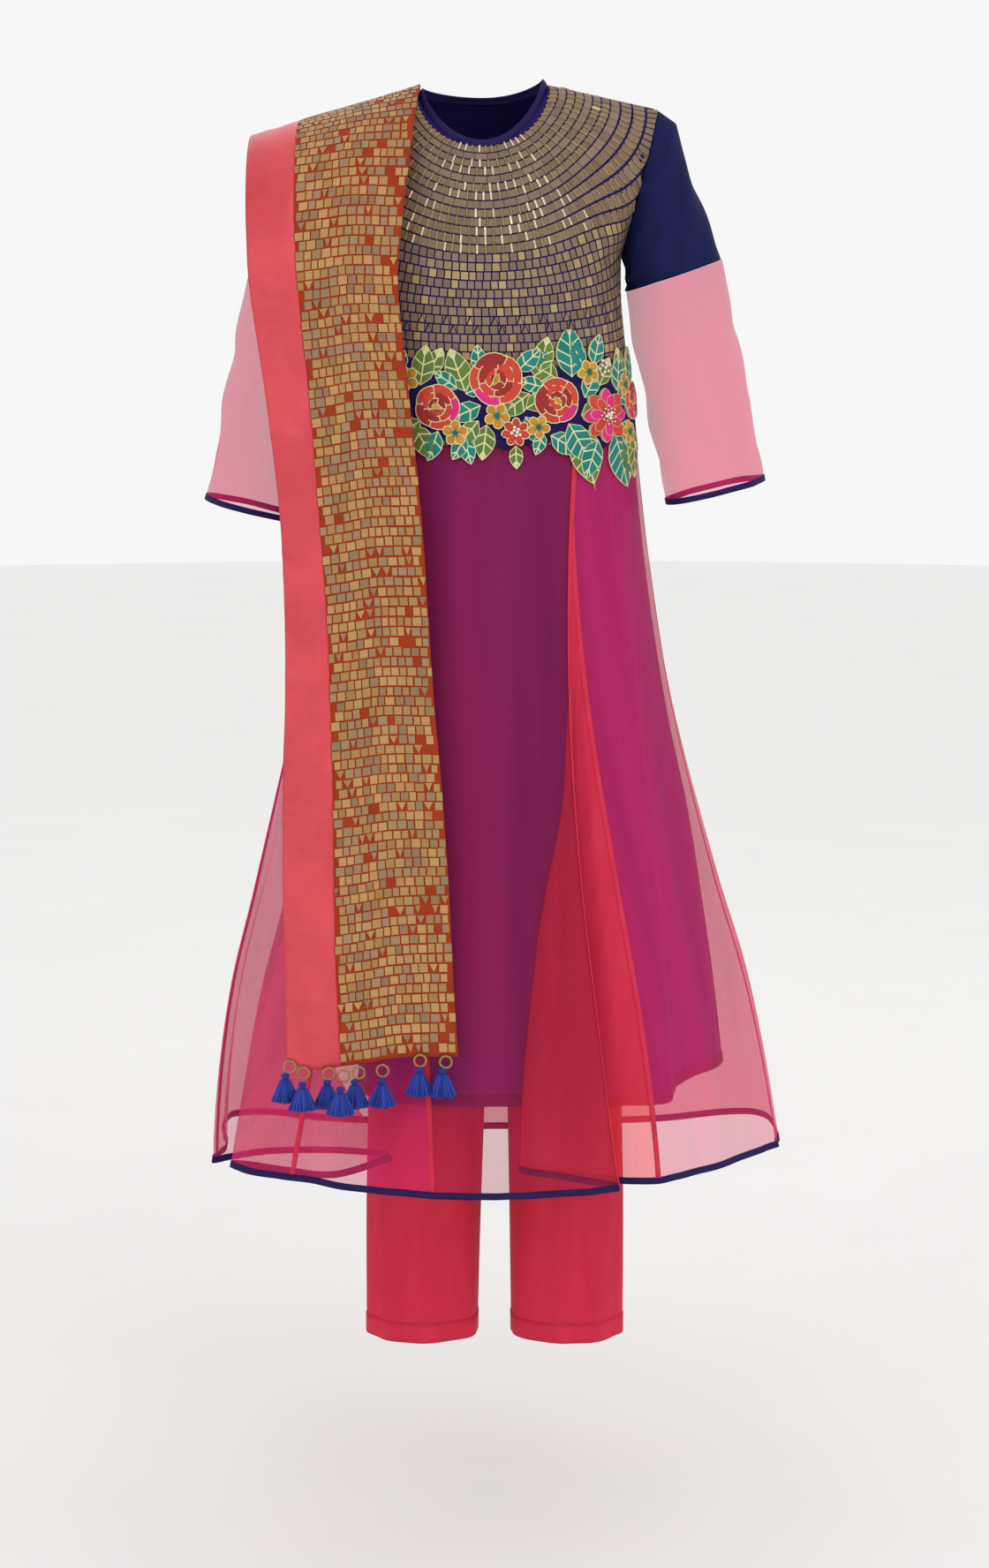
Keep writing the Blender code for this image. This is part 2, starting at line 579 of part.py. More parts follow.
def make_skirt(looks):
    """The skirt's panels, with a godet on each side of the front, and the hem binding."""
    inside = Vector((0, 0, -0.8))
    last = len(SKIRT_STATIONS) - 1
    godet_drops = [GODET_START] + [drop for drop in SKIRT_DROPS if drop > GODET_START]
    panels = (
        # name, first station, last station, drops, trim
        ("skirt_side_right", SIDE_SEAM_RIGHT, GODET_RIGHT[0], SKIRT_DROPS, SEAM / 2),
        ("godet_right", *GODET_RIGHT, godet_drops, GODET_TRIM),
        ("skirt_front_centre", GODET_RIGHT[1], GODET_LEFT[0], SKIRT_DROPS, TURNED_SEAM),
        ("godet_left", *GODET_LEFT, godet_drops, GODET_TRIM),
        ("skirt_side_left", GODET_LEFT[1], SIDE_SEAM_LEFT, SKIRT_DROPS, SEAM / 2),
    )
    for name, first, final, drops, trim in panels:
        rows = open_seams(skirt_rows(first, final, FRONT_STEPS, drops), trim)
        add_sheet(name, rows, ORGANZA_WALL, looks["organza"], inside)

    left_half = skirt_rows(SIDE_SEAM_LEFT, last, BACK_STEPS, SKIRT_DROPS)
    right_half = skirt_rows(0, SIDE_SEAM_RIGHT, BACK_STEPS, SKIRT_DROPS)
    rows = [left + right[1:] for left, right in zip(left_half, right_half)]
    add_sheet("skirt_back", open_seams(rows), ORGANZA_WALL, looks["organza"], inside)

    skirt_length = YOKE_HEM_Z - SKIRT_HEM_Z
    hem_drops = (1 + SEAM / skirt_length, 1 + HEM_BAND / skirt_length)
    back_right = skirt_rows(0, SIDE_SEAM_RIGHT, BACK_STEPS, hem_drops)
    front = skirt_rows(SIDE_SEAM_RIGHT, SIDE_SEAM_LEFT, FRONT_STEPS, hem_drops)
    back_left = skirt_rows(SIDE_SEAM_LEFT, last, BACK_STEPS, hem_drops)
    ring = [one + two[1:-1] + three[:-1] for one, two, three in zip(back_right, front, back_left)]
    add_sheet("hem_binding", ring, BINDING_WALL, looks["navy"], inside, closed=True)


def lining_point(place, drop):
    """A point of the lining: place along its stations, drop from 0 to 1."""
    degrees, hem_x, hem_y, dip = along_stations(LINING_STATIONS, place)
    flare = table_value(LINING_FLARE, drop)
    top = body_oval(degrees, YOKE_HEM_Z, -(ORGANZA_WALL + 3 * SEAM))
    top_z = YOKE_HEM_Z - SEAM
    z = top_z + (LINING_HEM_Z - top_z) * drop + dip * drop ** 2
    return Vector((top.x + (hem_x - top.x) * flare, top.y + (hem_y - top.y) * flare, z))


def make_lining(looks):
    """Front and back of the lining, which shows through the skirt."""
    inside = Vector((0.03, 0, -0.7))
    last = len(LINING_STATIONS) - 1

    def rows_between(first, final, steps):
        count = round((final - first) * steps)
        places = [first + (final - first) * i / count for i in range(count + 1)]
        return [[lining_point(place, drop) for place in places] for drop in LINING_DROPS]

    front = rows_between(LINING_SIDE_RIGHT, LINING_SIDE_LEFT, 2)
    left = rows_between(LINING_SIDE_LEFT, last, 2)
    right = rows_between(0, LINING_SIDE_RIGHT, 2)
    back = [one + other[1:] for one, other in zip(left, right)]
    for name, rows in (("lining_front", front), ("lining_back", back)):
        add_sheet(name, open_seams(rows, TURNED_SEAM / 2), COTTON_WALL, looks["silk"], inside)


# ---- trousers --------------------------------------------------------------------------
def leg_point(row, turn, hand):
    """A point of a leg panel, which wraps from its inner edge at the front to the back."""
    height, inner, outer, depth = row
    if height > CROTCH_Z + 0.001:
        angle = math.radians(180) * turn
        reach = inner + (outer - inner) * math.sin(angle)
        return Vector((hand * reach, -depth * math.cos(angle), height))
    angle = math.radians(360) * turn
    middle, half = (inner + outer) / 2, (outer - inner) / 2
    return Vector((hand * (middle - half * math.cos(angle)), -depth * math.sin(angle), height))


def make_trousers(looks):
    """Two legs, each one panel closed at its inseam, and the waistband."""
    for hand, suffix in ((1, "_left"), (-1, "_right")):
        rows = []
        for row in LEG_ROWS:
            points = [leg_point(row, i / LEG_SIDES, hand) for i in range(LEG_SIDES + 1)]
            if row[0] <= CROTCH_Z + 0.001:
                points[0].y -= SEAM / 2
                points[-1].y += SEAM / 2
            rows.append(points)
        inside = Vector((hand * 0.078, 0, -1.0))
        add_sheet("trouser_leg" + suffix, rows, COTTON_WALL, looks["crimson"], inside)

    height, _, outer, depth = LEG_ROWS[-1]
    rows = []
    for z in (height + SEAM, height + WAISTBAND_HEIGHT):
        ring = []
        for i in range(2 * LEG_SIDES):
            angle = math.pi * i / LEG_SIDES
            ring.append(Vector((outer * math.sin(angle), -depth * math.cos(angle), z)))
        rows.append(ring)
    inside = Vector((0, 0, height))
    add_sheet("trouser_waistband", rows, BINDING_WALL, looks["crimson"], inside, closed=True)


# ---- dupatta ---------------------------------------------------------------------------
def dupatta_place(across, row, crest_turn, side):
    """A point of the dupatta's top layer.

    across is the x column's name and a share, crest_turn is 0 below the chest and runs to 1
    at the crest of the shoulder, side is -1 in front and 1 behind.
    """
    height, outer_x, _, inner_x, front_y, back_y = row
    turn = math.radians(90) * crest_turn
    low_x = across_x(across, outer_x, row[2], inner_x)
    high_x = across_x(across, CREST["outer_x"], CREST["border_x"], CREST["inner_x"])
    share = (high_x - CREST["outer_x"]) / (CREST["inner_x"] - CREST["outer_x"])
    crest_z = CREST_OUTER_Z + (CREST_INNER_Z - CREST_OUTER_Z) * share
    depth = front_y if side < 0 else back_y
    return Vector(
        (
            low_x + (high_x - low_x) * math.sin(turn),
            depth * math.cos(turn),
            height + (crest_z - height) * math.sin(turn) if crest_turn else height,
        )
    )


def across_x(across, outer_x, border_x, inner_x):
    """An x between the outer edge (0), the border's seam (1) and the inner edge (2)."""
    if across <= 1:
        return outer_x + (border_x - outer_x) * across
    return border_x + (inner_x - border_x) * (across - 1)


def dupatta_rows(first, last, columns):
    """The top layer from the front end, up, over the shoulder and down to the back end."""
    acrosses = [first + (last - first) * i / columns for i in range(columns + 1)]
    width = DUPATTA_ROWS[0][3] - DUPATTA_ROWS[0][1]
    front, back = [], []
    for index, row in enumerate(DUPATTA_ROWS):
        for side, rows in ((-1, front), (1, back)):
            points = [dupatta_place(across, row, 0, side) for across in acrosses]
            if index == 0:
                for point in points:
                    point.z += table_value(HEM_WAVE, (point.x - DUPATTA_ROWS[0][1]) / width)
            rows.append(points)
    for i in range(1, CREST_TURNS):
        for side, rows in ((-1, front), (1, back)):
            turn = i / CREST_TURNS
            rows.append([dupatta_place(across, DUPATTA_ROWS[-1], turn, side) for across in acrosses])
    crest = [dupatta_place(across, DUPATTA_ROWS[-1], 1, -1) for across in acrosses]
    return front + [crest] + back[::-1]


def inner_layer(rows, depth):
    """The rows of the top layer moved in towards the body by depth."""
    moved = []
    for index, row in enumerate(rows):
        before, after = rows[max(index - 1, 0)], rows[min(index + 1, len(rows) - 1)]
        line = []
        for column, point in enumerate(row):
            along = after[column] - before[column]
            across = row[-1] - row[0]
            outward = along.cross(across).normalized()
            line.append(point + outward * depth)
        moved.append(line)
    return moved


def make_dupatta(looks):
    """The mosaic top layer, its satin border and the layers folded beneath them."""
    inside = Vector((-0.15, 0, -0.5))
    border = open_seams(dupatta_rows(0, 1, BORDER_COLUMNS))
    mosaic = open_seams(dupatta_rows(1, 2, MOSAIC_COLUMNS))
    add_sheet("dupatta_border", border, DUPATTA_WALL, looks["satin"], inside)
    add_sheet("dupatta_mosaic", mosaic, DUPATTA_WALL, looks["brocade"], inside)

    whole = dupatta_rows(0.08, 2, MOSAIC_COLUMNS)
    trimmed = []
    for row in whole:
        across = (row[-1] - row[0]).normalized()
        line = list(row)
        line[-1] = row[-1] - across * UNDERLAYER_INSET
        trimmed.append(line)
    gap = DUPATTA_WALL + UNDERLAYER_GAP
    layers = inner_layer(trimmed, gap)
    if (layers[1][0] - trimmed[1][0]).dot(inside - trimmed[1][0]) < 0:
        layers = inner_layer(trimmed, -gap)
    for row in layers[:1] + layers[-1:]:
        for point in row:
            point.z += 0.002
    add_sheet("dupatta_underlayers", layers, UNDERLAYER_WALL, looks["brocade"], inside)


def make_ring(name, centre, look):
    """A small turned ring that faces the front."""
    bm = bmesh.new()
    bmesh.ops.create_circle(bm, cap_ends=False, segments=WIRE_SIDES, radius=RING_WIRE)
    for vert in bm.verts:
        vert.co = Vector((vert.co.x + RING_RADIUS, vert.co.y, 0))
    bmesh.ops.spin(
        bm, geom=bm.verts[:] + bm.edges[:], cent=(0, 0, 0), axis=(0, 1, 0),
        angle=math.tau, steps=RING_SIDES, use_merge=True,
    )
    bmesh.ops.remove_doubles(bm, verts=bm.verts[:], dist=1e-6)
    bmesh.ops.recalc_face_normals(bm, faces=bm.faces[:])
    ring = add_object(name, bm, look)
    ring.location = centre
    return ring


def make_tassel(name, top, look):
    """A tassel's plain outer shape: head, neck and a spreading skirt of threads."""
    bm = bmesh.new()
    rings = []
    for drop, radius in TASSEL_PROFILE:
        made = bmesh.ops.create_circle(bm, cap_ends=False, segments=TASSEL_SIDES, radius=radius)
        for vert in made["verts"]:
            vert.co.z = -drop
        rings.append(made["verts"])
    for upper, lower in zip(rings, rings[1:]):
        for i in range(TASSEL_SIDES):
            j = (i + 1) % TASSEL_SIDES
            bm.faces.new((upper[i], lower[i], lower[j], upper[j]))
    bm.faces.new(rings[0])
    bm.faces.new(rings[-1])
    bmesh.ops.recalc_face_normals(bm, faces=bm.faces[:])
    tassel = add_object(name, bm, look)
    tassel.location = top
    return tassel


def make_tassels(looks):
    """Eight rings with tassels along each end of the dupatta."""
    width = DUPATTA_ROWS[0][3] - DUPATTA_ROWS[0][1]
    for end, side in (("front", -1), ("back", 1)):
        depth = DUPATTA_ROWS[0][4] if side < 0 else DUPATTA_ROWS[0][5]
        for number, (ring_x, below, body_x, shift) in enumerate(TASSELS, start=1):
            wave = table_value(HEM_WAVE, (ring_x - DUPATTA_ROWS[0][1]) / width)
            ring_y = depth + side * (RING_WIRE + 0.0012)
            centre = Vector((ring_x, ring_y, DUPATTA_ROWS[0][0] + wave - below))
            make_ring(f"ring_{end}_{number}", centre, looks["ring"])
            top = Vector((body_x, ring_y - side * shift, centre.z - RING_RADIUS - RING_WIRE - SEAM))
            make_tassel(f"tassel_{end}_{number}", top, looks["thread"])


def main():
    """Build every piece of the suit."""
    clear_scene()
    looks = make_looks()
    make_yoke(looks)
    make_sleeve(looks, 1, "_left")
    make_sleeve(looks, -1, "_right")
    make_lining(looks)
    make_skirt(looks)
    make_trousers(looks)
    make_dupatta(looks)
    make_tassels(looks)


main()
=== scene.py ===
"""Looks of the salwar kameez suit: kameez, trousers and dupatta, hung as on a wearer.

Metres, +Z up. The wearer faces -Y and the wearer's left is +X. The origin is on the line of
the shoulders. Every cloth is a fine grid on the form of its CAD solid, and each grid carries
its flat pattern as a UV map in metres, so tiles, seams and motifs are laid on the flat cloth
and follow it into its hung shape.
"""

import logging
import math
import random
from collections.abc import Callable, Sequence
from dataclasses import dataclass, field
from enum import Enum

import bmesh
import bpy
from mathutils import Matrix, Vector, noise
from mathutils.bvhtree import BVHTree
from mathutils.geometry import barycentric_transform


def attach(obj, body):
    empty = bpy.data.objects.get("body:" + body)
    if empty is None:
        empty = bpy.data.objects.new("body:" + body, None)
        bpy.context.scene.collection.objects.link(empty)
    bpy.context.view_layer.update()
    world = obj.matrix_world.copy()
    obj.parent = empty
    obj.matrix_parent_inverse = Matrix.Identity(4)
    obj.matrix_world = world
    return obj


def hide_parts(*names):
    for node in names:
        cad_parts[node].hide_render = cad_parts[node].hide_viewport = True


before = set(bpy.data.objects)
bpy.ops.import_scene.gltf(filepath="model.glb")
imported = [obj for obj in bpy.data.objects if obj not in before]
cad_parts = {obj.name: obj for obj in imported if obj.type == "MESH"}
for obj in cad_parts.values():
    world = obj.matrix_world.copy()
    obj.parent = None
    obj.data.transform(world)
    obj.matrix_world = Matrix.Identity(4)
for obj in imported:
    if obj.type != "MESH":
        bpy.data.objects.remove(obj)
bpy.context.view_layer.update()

LOG = logging.getLogger("suit")
ROOT = "root"
WAVE_PERIOD = math.pi / 10     # a Wave texture of scale 1 repeats at this distance
GOLDEN_ANGLE = 2.39996         # turn between one seed of a sunflower and the next
DYE_AND_FOLD_SHADE_CONTRAST = 1.6             # how far the tone swings about its middle: uneven dyeing, and in the organza and satin painted light and shade of folds and creases
DYE_AND_FOLD_SHADE_OFFSET = -0.35
THREAD_TOP_HIGHLIGHT = 0.3          # painted highlight: how much the tops of the threads take up the lighter tone
# painted highlight: how much the ridges of the stitches take up the lighter tone
STITCH_RIDGE_HIGHLIGHT = 0.35
LEAST_SHARE = 0.3              # least part of its rectangle that a measured cut may fill
SEAM_GAP = 0.0003              # between two pieces sewn edge to edge
BINDING_WALL = 0.0018          # folded binding
Place = Callable[[float, float], Vector]
Spot = tuple[float, float]


class Held(Enum):
    HUNG = "hung"
    DRAPED = "draped"
    FOLDED = "folded"


# ---- finishes ------------------------------------------------------------------------
def srgb(code: str) -> tuple[float, float, float, float]:
    """Turn an sRGB hex code into linear colour.

    Args:
        code: Six hex digits.

    Returns:
        Red, green and blue from 0 to 1, and alpha 1.
    """
    channels = []
    for start in (0, 2, 4):
        value = int(code[start:start + 2], 16) / 255
        channels.append(value / 12.92 if value <= 0.04045 else ((value + 0.055) / 1.055) ** 2.4)
    return (*channels, 1.0)


def add_node(tree: bpy.types.NodeTree, kind: str, inputs: dict | None = None, **settings) -> bpy.types.Node:
    """Add a node with its settings, socket values and links.

    Args:
        tree: The node tree.
        kind: The node's type name.
        inputs: Socket name or index to a value, or to an output socket to link from.
        **settings: Properties of the node.

    Returns:
        The new node.
    """
    node = tree.nodes.new(kind)
    for name, value in settings.items():
        setattr(node, name, value)
    for key, value in (inputs or {}).items():
        if isinstance(value, bpy.types.NodeSocket):
            tree.links.new(value, node.inputs[key])
        else:
            node.inputs[key].default_value = value
    return node


def new_material(name: str) -> tuple[bpy.types.Material, bpy.types.NodeTree, bpy.types.Node]:
    """Start a material.

    Args:
        name: The real material's name.

    Returns:
        The material, its node tree and its Principled shader.
    """
    material = bpy.data.materials.new(name)
    material.use_nodes = True
    return material, material.node_tree, material.node_tree.nodes["Principled BSDF"]


@dataclass(frozen=True)
class WovenCloth:
    """A plain-woven cloth: crossed threads with painted highlights on their tops, and soft patches of tone:
    uneven dyeing, and in the organza and satin painted light and shade of folds.

    The thread spacing is drawn coarser than the real 0.3 to 0.5 mm, which would not show.
    """

    name: str
    colour: str
    shade: str
    thread_mm: float = 1.3
    roughness: float = 0.75
    sheen: float = 0.25
    relief_mm: float = 0.10
    patch_mm: float = 45.0
    alpha: float = 1.0
    warp_only: bool = False
    gloss: float = 0.12
    streak: float = 1.0

    def build(self) -> bpy.types.Material:
        """Build the material on the cloth's own UV map, in metres."""
        material, tree, shader = new_material(self.name)
        flat = add_node(tree, "ShaderNodeUVMap", uv_map="flat").outputs["UV"]
        scale = WAVE_PERIOD / (self.thread_mm / 1000)
        warp = add_node(
            tree, "ShaderNodeTexWave", {"Vector": flat, "Scale": scale, "Distortion": 0.4},
            bands_direction="X",
        )
        weft = add_node(
            tree, "ShaderNodeTexWave", {"Vector": flat, "Scale": scale, "Distortion": 0.4},
            bands_direction="Y",
        )
        threads = add_node(
            tree, "ShaderNodeMath",
            {0: warp.outputs["Fac"], 1: 0.5 if self.warp_only else weft.outputs["Fac"]},
            operation="MULTIPLY",
        )
        drawn_out = add_node(
            tree, "ShaderNodeMapping", {"Vector": flat, "Scale": (1.0, self.streak, 1.0)}
        )
        patches = add_node(
            tree, "ShaderNodeTexNoise",
            {"Vector": drawn_out.outputs[0], "Scale": 1000 / self.patch_mm, "Detail": 4.0,
             "Roughness": 0.6},
        )
        # soft patches of tone: uneven dyeing, and in the organza and satin painted light and shade of folds
        # and creases
        dye_and_fold_shade = add_node(
            tree, "ShaderNodeMath", {0: patches.outputs["Fac"], 1: DYE_AND_FOLD_SHADE_CONTRAST, 2: DYE_AND_FOLD_SHADE_OFFSET},
            operation="MULTIPLY_ADD",
        )
        # painted highlight: the tops of the threads are lighter in the colour
        mixed = add_node(
            tree, "ShaderNodeMath", {0: threads.outputs[0], 1: THREAD_TOP_HIGHLIGHT, 2: dye_and_fold_shade.outputs[0]},
            operation="MULTIPLY_ADD", use_clamp=True,
        )
        colour = add_node(
            tree, "ShaderNodeMix", {0: mixed.outputs[0], 6: srgb(self.shade), 7: srgb(self.colour)},
            data_type="RGBA",
        )
        bump = add_node(
            tree, "ShaderNodeBump",
            {"Height": threads.outputs[0], "Distance": self.relief_mm / 1000, "Strength": 0.6},
        )
        tree.links.new(colour.outputs[2], shader.inputs["Base Color"])
        tree.links.new(bump.outputs["Normal"], shader.inputs["Normal"])
        shader.inputs["Roughness"].default_value = self.roughness
        shader.inputs["Specular IOR Level"].default_value = self.gloss
        shader.inputs["Sheen Weight"].default_value = self.sheen
        shader.inputs["Sheen Roughness"].default_value = 0.4
        shader.inputs["Alpha"].default_value = self.alpha
        return material


@dataclass(frozen=True)
class StitchedThread:
    """Embroidery: close satin stitches with painted highlights on their ridges, and a tint that changes
    from patch to patch.
    """

    name: str
    colour: str
    shade: str
    stitch_mm: float = 1.6
    roughness: float = 0.55
    metallic: float = 0.0
    sheen: float = 0.05

    def build(self) -> bpy.types.Material:
        """Build the material on Object coordinates and the tint attribute."""
        material, tree, shader = new_material(self.name)
        place = add_node(tree, "ShaderNodeTexCoord").outputs["Object"]
        tint = add_node(tree, "ShaderNodeAttribute", attribute_name="tint").outputs["Fac"]
        stitches = add_node(
            tree, "ShaderNodeTexWave",
            {"Vector": place, "Scale": WAVE_PERIOD / (self.stitch_mm / 1000), "Distortion": 3.0,
             "Detail Scale": 2.0},
            bands_direction="DIAGONAL",
        )
        # painted highlight on the ridges of the stitches, on top of each patch's random tint
        uneven = add_node(
            tree, "ShaderNodeMath", {0: stitches.outputs["Fac"], 1: STITCH_RIDGE_HIGHLIGHT, 2: tint},
            operation="MULTIPLY_ADD", use_clamp=True,
        )
        colour = add_node(
            tree, "ShaderNodeMix", {0: uneven.outputs[0], 6: srgb(self.shade), 7: srgb(self.colour)},
            data_type="RGBA",
        )
        bump = add_node(
            tree, "ShaderNodeBump", {"Height": stitches.outputs["Fac"], "Distance": 0.0002, "Strength": 0.5}
        )
        tree.links.new(colour.outputs[2], shader.inputs["Base Color"])
        tree.links.new(bump.outputs["Normal"], shader.inputs["Normal"])
        shader.inputs["Roughness"].default_value = self.roughness
        shader.inputs["Metallic"].default_value = self.metallic
        shader.inputs["Specular IOR Level"].default_value = 0.25
        shader.inputs["Sheen Weight"].default_value = self.sheen
        return material


@dataclass(frozen=True)
class Polished:
    """Beads, pearls, rings and other hard trimmings, with fine wear in their colour."""

    name: str
    colour: str
    shade: str
    roughness: float = 0.3
    metallic: float = 0.0
    grain_mm: float = 2.0

    def build(self) -> bpy.types.Material:
        """Build the material on Object coordinates."""
        material, tree, shader = new_material(self.name)
        place = add_node(tree, "ShaderNodeTexCoord").outputs["Object"]
        grain = add_node(
            tree, "ShaderNodeTexNoise", {"Vector": place, "Scale": 1000 / self.grain_mm, "Detail": 2.0}
        )
        colour = add_node(
            tree, "ShaderNodeMix", {0: grain.outputs["Fac"], 6: srgb(self.shade), 7: srgb(self.colour)},
            data_type="RGBA",
        )
        tree.links.new(colour.outputs[2], shader.inputs["Base Color"])
        shader.inputs["Roughness"].default_value = self.roughness
        shader.inputs["Metallic"].default_value = self.metallic
        return material


def organza(name: str, colour: str, shade: str, patch_mm: float, alpha: float,
            streak: float = 0.04) -> WovenCloth:
    """Silk organza: smooth and sheer, with soft bands of tone down its length, painted light and shade of
    soft vertical folds.

    Args:
        name: The material's name.
        colour: Its lighter tone.
        shade: Its darker tone.
        patch_mm: Width of the bands of tone.
        alpha: How much one layer covers.
        streak: How much the bands are drawn out, less than 1 being longer.

    Returns:
        The finish.
    """
    return WovenCloth(
        name, colour, shade, thread_mm=1.0, roughness=0.5, sheen=0.0, relief_mm=0.04,
        patch_mm=patch_mm, alpha=alpha, streak=streak,
    )


class Finish(Enum):
    """The finishes of the suit, each with the slot of the record that it belongs to."""

    # sheer silk organza, crisp and see-through: one layer hides about half of what is behind
    ORGANZA = (organza("silk organza", "f43476", "b8184c", 55.0, 0.52), "organza")
    # the same organza where it lies close on the lining, painted darker: a shaded copy of it
    FRONT_ORGANZA = (organza("silk organza, front", "c42850", "820f2c", 55.0, 0.46), "organza")
    # the same organza in the back panel, painted lighter where it is seen against the light: a lit copy of
    # it
    BACK_ORGANZA = (organza("silk organza, back", "ff3478", "d81c54", 55.0, 0.57), "organza")
    # the same organza where it is laid over itself in the left godet's folds
    GODET_ORGANZA = (organza("silk organza, godet", "ff4356", "e2283c", 30.0, 0.68, 0.03), "organza")
    # the same organza in the sleeves, painted brighter where light comes through it from both sides: a lit
    # copy of it
    SLEEVE_ORGANZA = (organza("silk organza, sleeves", "f63579", "dc2263", 22.0, 0.46, 0.1), "organza")
    # organza turned in three times at a seam, so it covers
    SEAM = (WovenCloth("organza seam allowance", "dc3550", "c52642", 1.0, 0.5, 0.1, 0.06), "organza")
    # indigo silk lining, smooth with a low lustre
    LINING = (
        WovenCloth("silk lining", "472184", "35156a", 1.0, 0.45, 0.0, 0.03, 30.0, streak=0.05),
        "lining_silk",
    )
    LINING_HEM = (WovenCloth("silk lining hem", "34155f", "2a1050", 1.0, 0.45, 0.0, 0.04), "lining_silk")
    # crimson cotton of the trousers, matt with a soft hand
    CRIMSON = (
        WovenCloth("crimson cotton", "d93650", "c2253e", 1.2, 0.85, 0.05, 0.10, 40.0, streak=0.25),
        "crimson_cotton",
    )
    # navy cotton twill of the sleeves and bindings
    NAVY = (WovenCloth("navy cotton", "1a1e52", "12153c", 1.2, 0.8, 0.0, 0.10), "navy_cotton")
    BINDING = (WovenCloth("navy bias binding", "2a2058", "1f1848", 1.0, 0.75, 0.0, 0.12), "navy_cotton")
    # navy ground cloth under the tile patches
    YOKE_GROUND = (
        WovenCloth("navy ground cloth", "241a5a", "1b1348", 1.0, 0.85, 0.0, 0.08), "mosaic_cloth"
    )
    TILE = (StitchedThread("taupe silk patch", "8b7560", "705c4a", 1.6, 0.6, 0.0, 0.05), "mosaic_cloth")
    GOLD_TILE = (StitchedThread("gold zari patch", "b79b68", "83704c", 0.9, 0.42, 0.25), "mosaic_cloth")
    BUGLE = (Polished("gilt bugle bead", "fff6dc", "c9a867", 0.25, 0.55), "mosaic_cloth")
    # rust satin ground of the dupatta, gold and taupe patches
    RUST = (WovenCloth("rust dupion", "a83c1c", "913014", 1.1, 0.7, 0.05, 0.10), "brocade")
    BRASS_TILE = (StitchedThread("gold brocade patch", "bd935a", "94703f", 1.1, 0.5, 0.1, 0.05), "brocade")
    GREY_TILE = (StitchedThread("taupe brocade patch", "a1835f", "836749", 1.4, 0.6, 0.0, 0.05), "brocade")
    # scarlet satin: long smooth floats, so the sheen is high and only the warp shows; its broad lighter and
    # darker bands are painted light and shade of its creases
    SATIN = (
        WovenCloth("scarlet satin", "e84a56", "bb2733", 1.0, 0.34, 0.0, 0.02, 110.0, 1.0, True, 0.5),
        "satin",
    )
    TASSEL = (StitchedThread("royal blue rayon thread", "3149b0", "1c2b7a", 0.9, 0.7), "tassel_thread")
    RING = (Polished("thread-wound brass ring", "b39459", "866a39", 0.5, 0.3), "brass_ring")
    CREAM = (StitchedThread("cream chain stitch", "dedba6", "bdb97f", 1.0), "flower_embroidery")
    RED = (StitchedThread("rose red satin stitch", "cf4632", "b83526"), "flower_embroidery")
    DARK_RED = (StitchedThread("deep red satin stitch", "a62c28", "8c201f"), "flower_embroidery")
    PINK = (StitchedThread("magenta satin stitch", "e02a80", "c81a6b"), "flower_embroidery")
    YELLOW = (StitchedThread("marigold satin stitch", "d2952a", "ab731b"), "flower_embroidery")
    TEAL = (StitchedThread("teal satin stitch", "15857c", "0c6c66"), "flower_embroidery")
    OLIVE = (StitchedThread("olive satin stitch", "66803a", "4f6a2a"), "flower_embroidery")
    LIME = (StitchedThread("lime satin stitch", "c6d48a", "a9bc66"), "flower_embroidery")
    PEARL = (Polished("seed pearl", "fbf4ea", "d9cbc0", 0.2), "flower_embroidery")

    @property
    def slot(self) -> str:
        """The material slot of the record."""
        return self.value[1]

    @property
    def material(self) -> bpy.types.Material:
        """The material, built the first time it is asked for."""
        source = self.value[0]
        return bpy.data.materials.get(source.name) or source.build()


# ---- helpers -------------------------------------------------------------------------
def smooth_table(table: Sequence[Sequence[float]], key: float, column: int = 1) -> float:
    """Read a column of a table at key on a smooth curve through its rows.

    Args:
        table: Rows that start with their key.
        key: Where to read.
        column: Which column to read.

    Returns:
        The value, held level beyond the ends.
    """
    rows = sorted(table)
    if key <= rows[0][0]:
        return rows[0][column]
    if key >= rows[-1][0]:
        return rows[-1][column]
    last = len(rows) - 1
    index = next(i for i in range(last) if key <= rows[i + 1][0])

    def slope(i: int) -> float:
        """The curve's slope at row i, from the rows on either side."""
        low, high = rows[max(i - 1, 0)], rows[min(i + 1, last)]
        return (high[column] - low[column]) / (high[0] - low[0])

    low, high = rows[index], rows[index + 1]
    span = high[0] - low[0]
    share = (key - low[0]) / span
    square, cube = share ** 2, share ** 3
    return (
        (2 * cube - 3 * square + 1) * low[column]
        + (cube - 2 * square + share) * span * slope(index)
        + (3 * square - 2 * cube) * high[column]
        + (cube - square) * span * slope(index + 1)
    )


def along_stations(stations: Sequence[Sequence[float]], place: float) -> list[float]:
    """Read every column of a station table at a place along it.

    Args:
        stations: Rows in order round the garment; the last row repeats the first.
        place: An index into the rows, such as 3.5.

    Returns:
        One value for each column; the first in straight lines, the others smooth.
    """
    last = len(stations) - 1
    index = min(int(place), last - 1)
    share = place - index
    before = stations[index - 1 if index else last - 1]
    after = stations[index + 2 if index + 2 <= last else 1]
    start, end = stations[index], stations[index + 1]
    values = [start[0] + share * (end[0] - start[0])]
    for b, s, e, a in zip(before[1:], start[1:], end[1:], after[1:]):
        straight = 2 * s + (e - b) * share
        bend = (2 * b - 5 * s + 4 * e - a) * share ** 2
        turn = (3 * s - b - 3 * e + a) * share ** 3
        values.append((straight + bend + turn) / 2)
    return values


def ease(value: float, low: float, high: float) -> float:
    """A smooth step from 0 at low to 1 at high."""
    share = min(1.0, max(0.0, (value - low) / (high - low)))
    return share * share * (3 - 2 * share)


def ripple(x: float, y: float, seed: float) -> float:
    """Soft uneven waves between about -1 and 1."""
    return noise.noise(Vector((x, y, seed)))


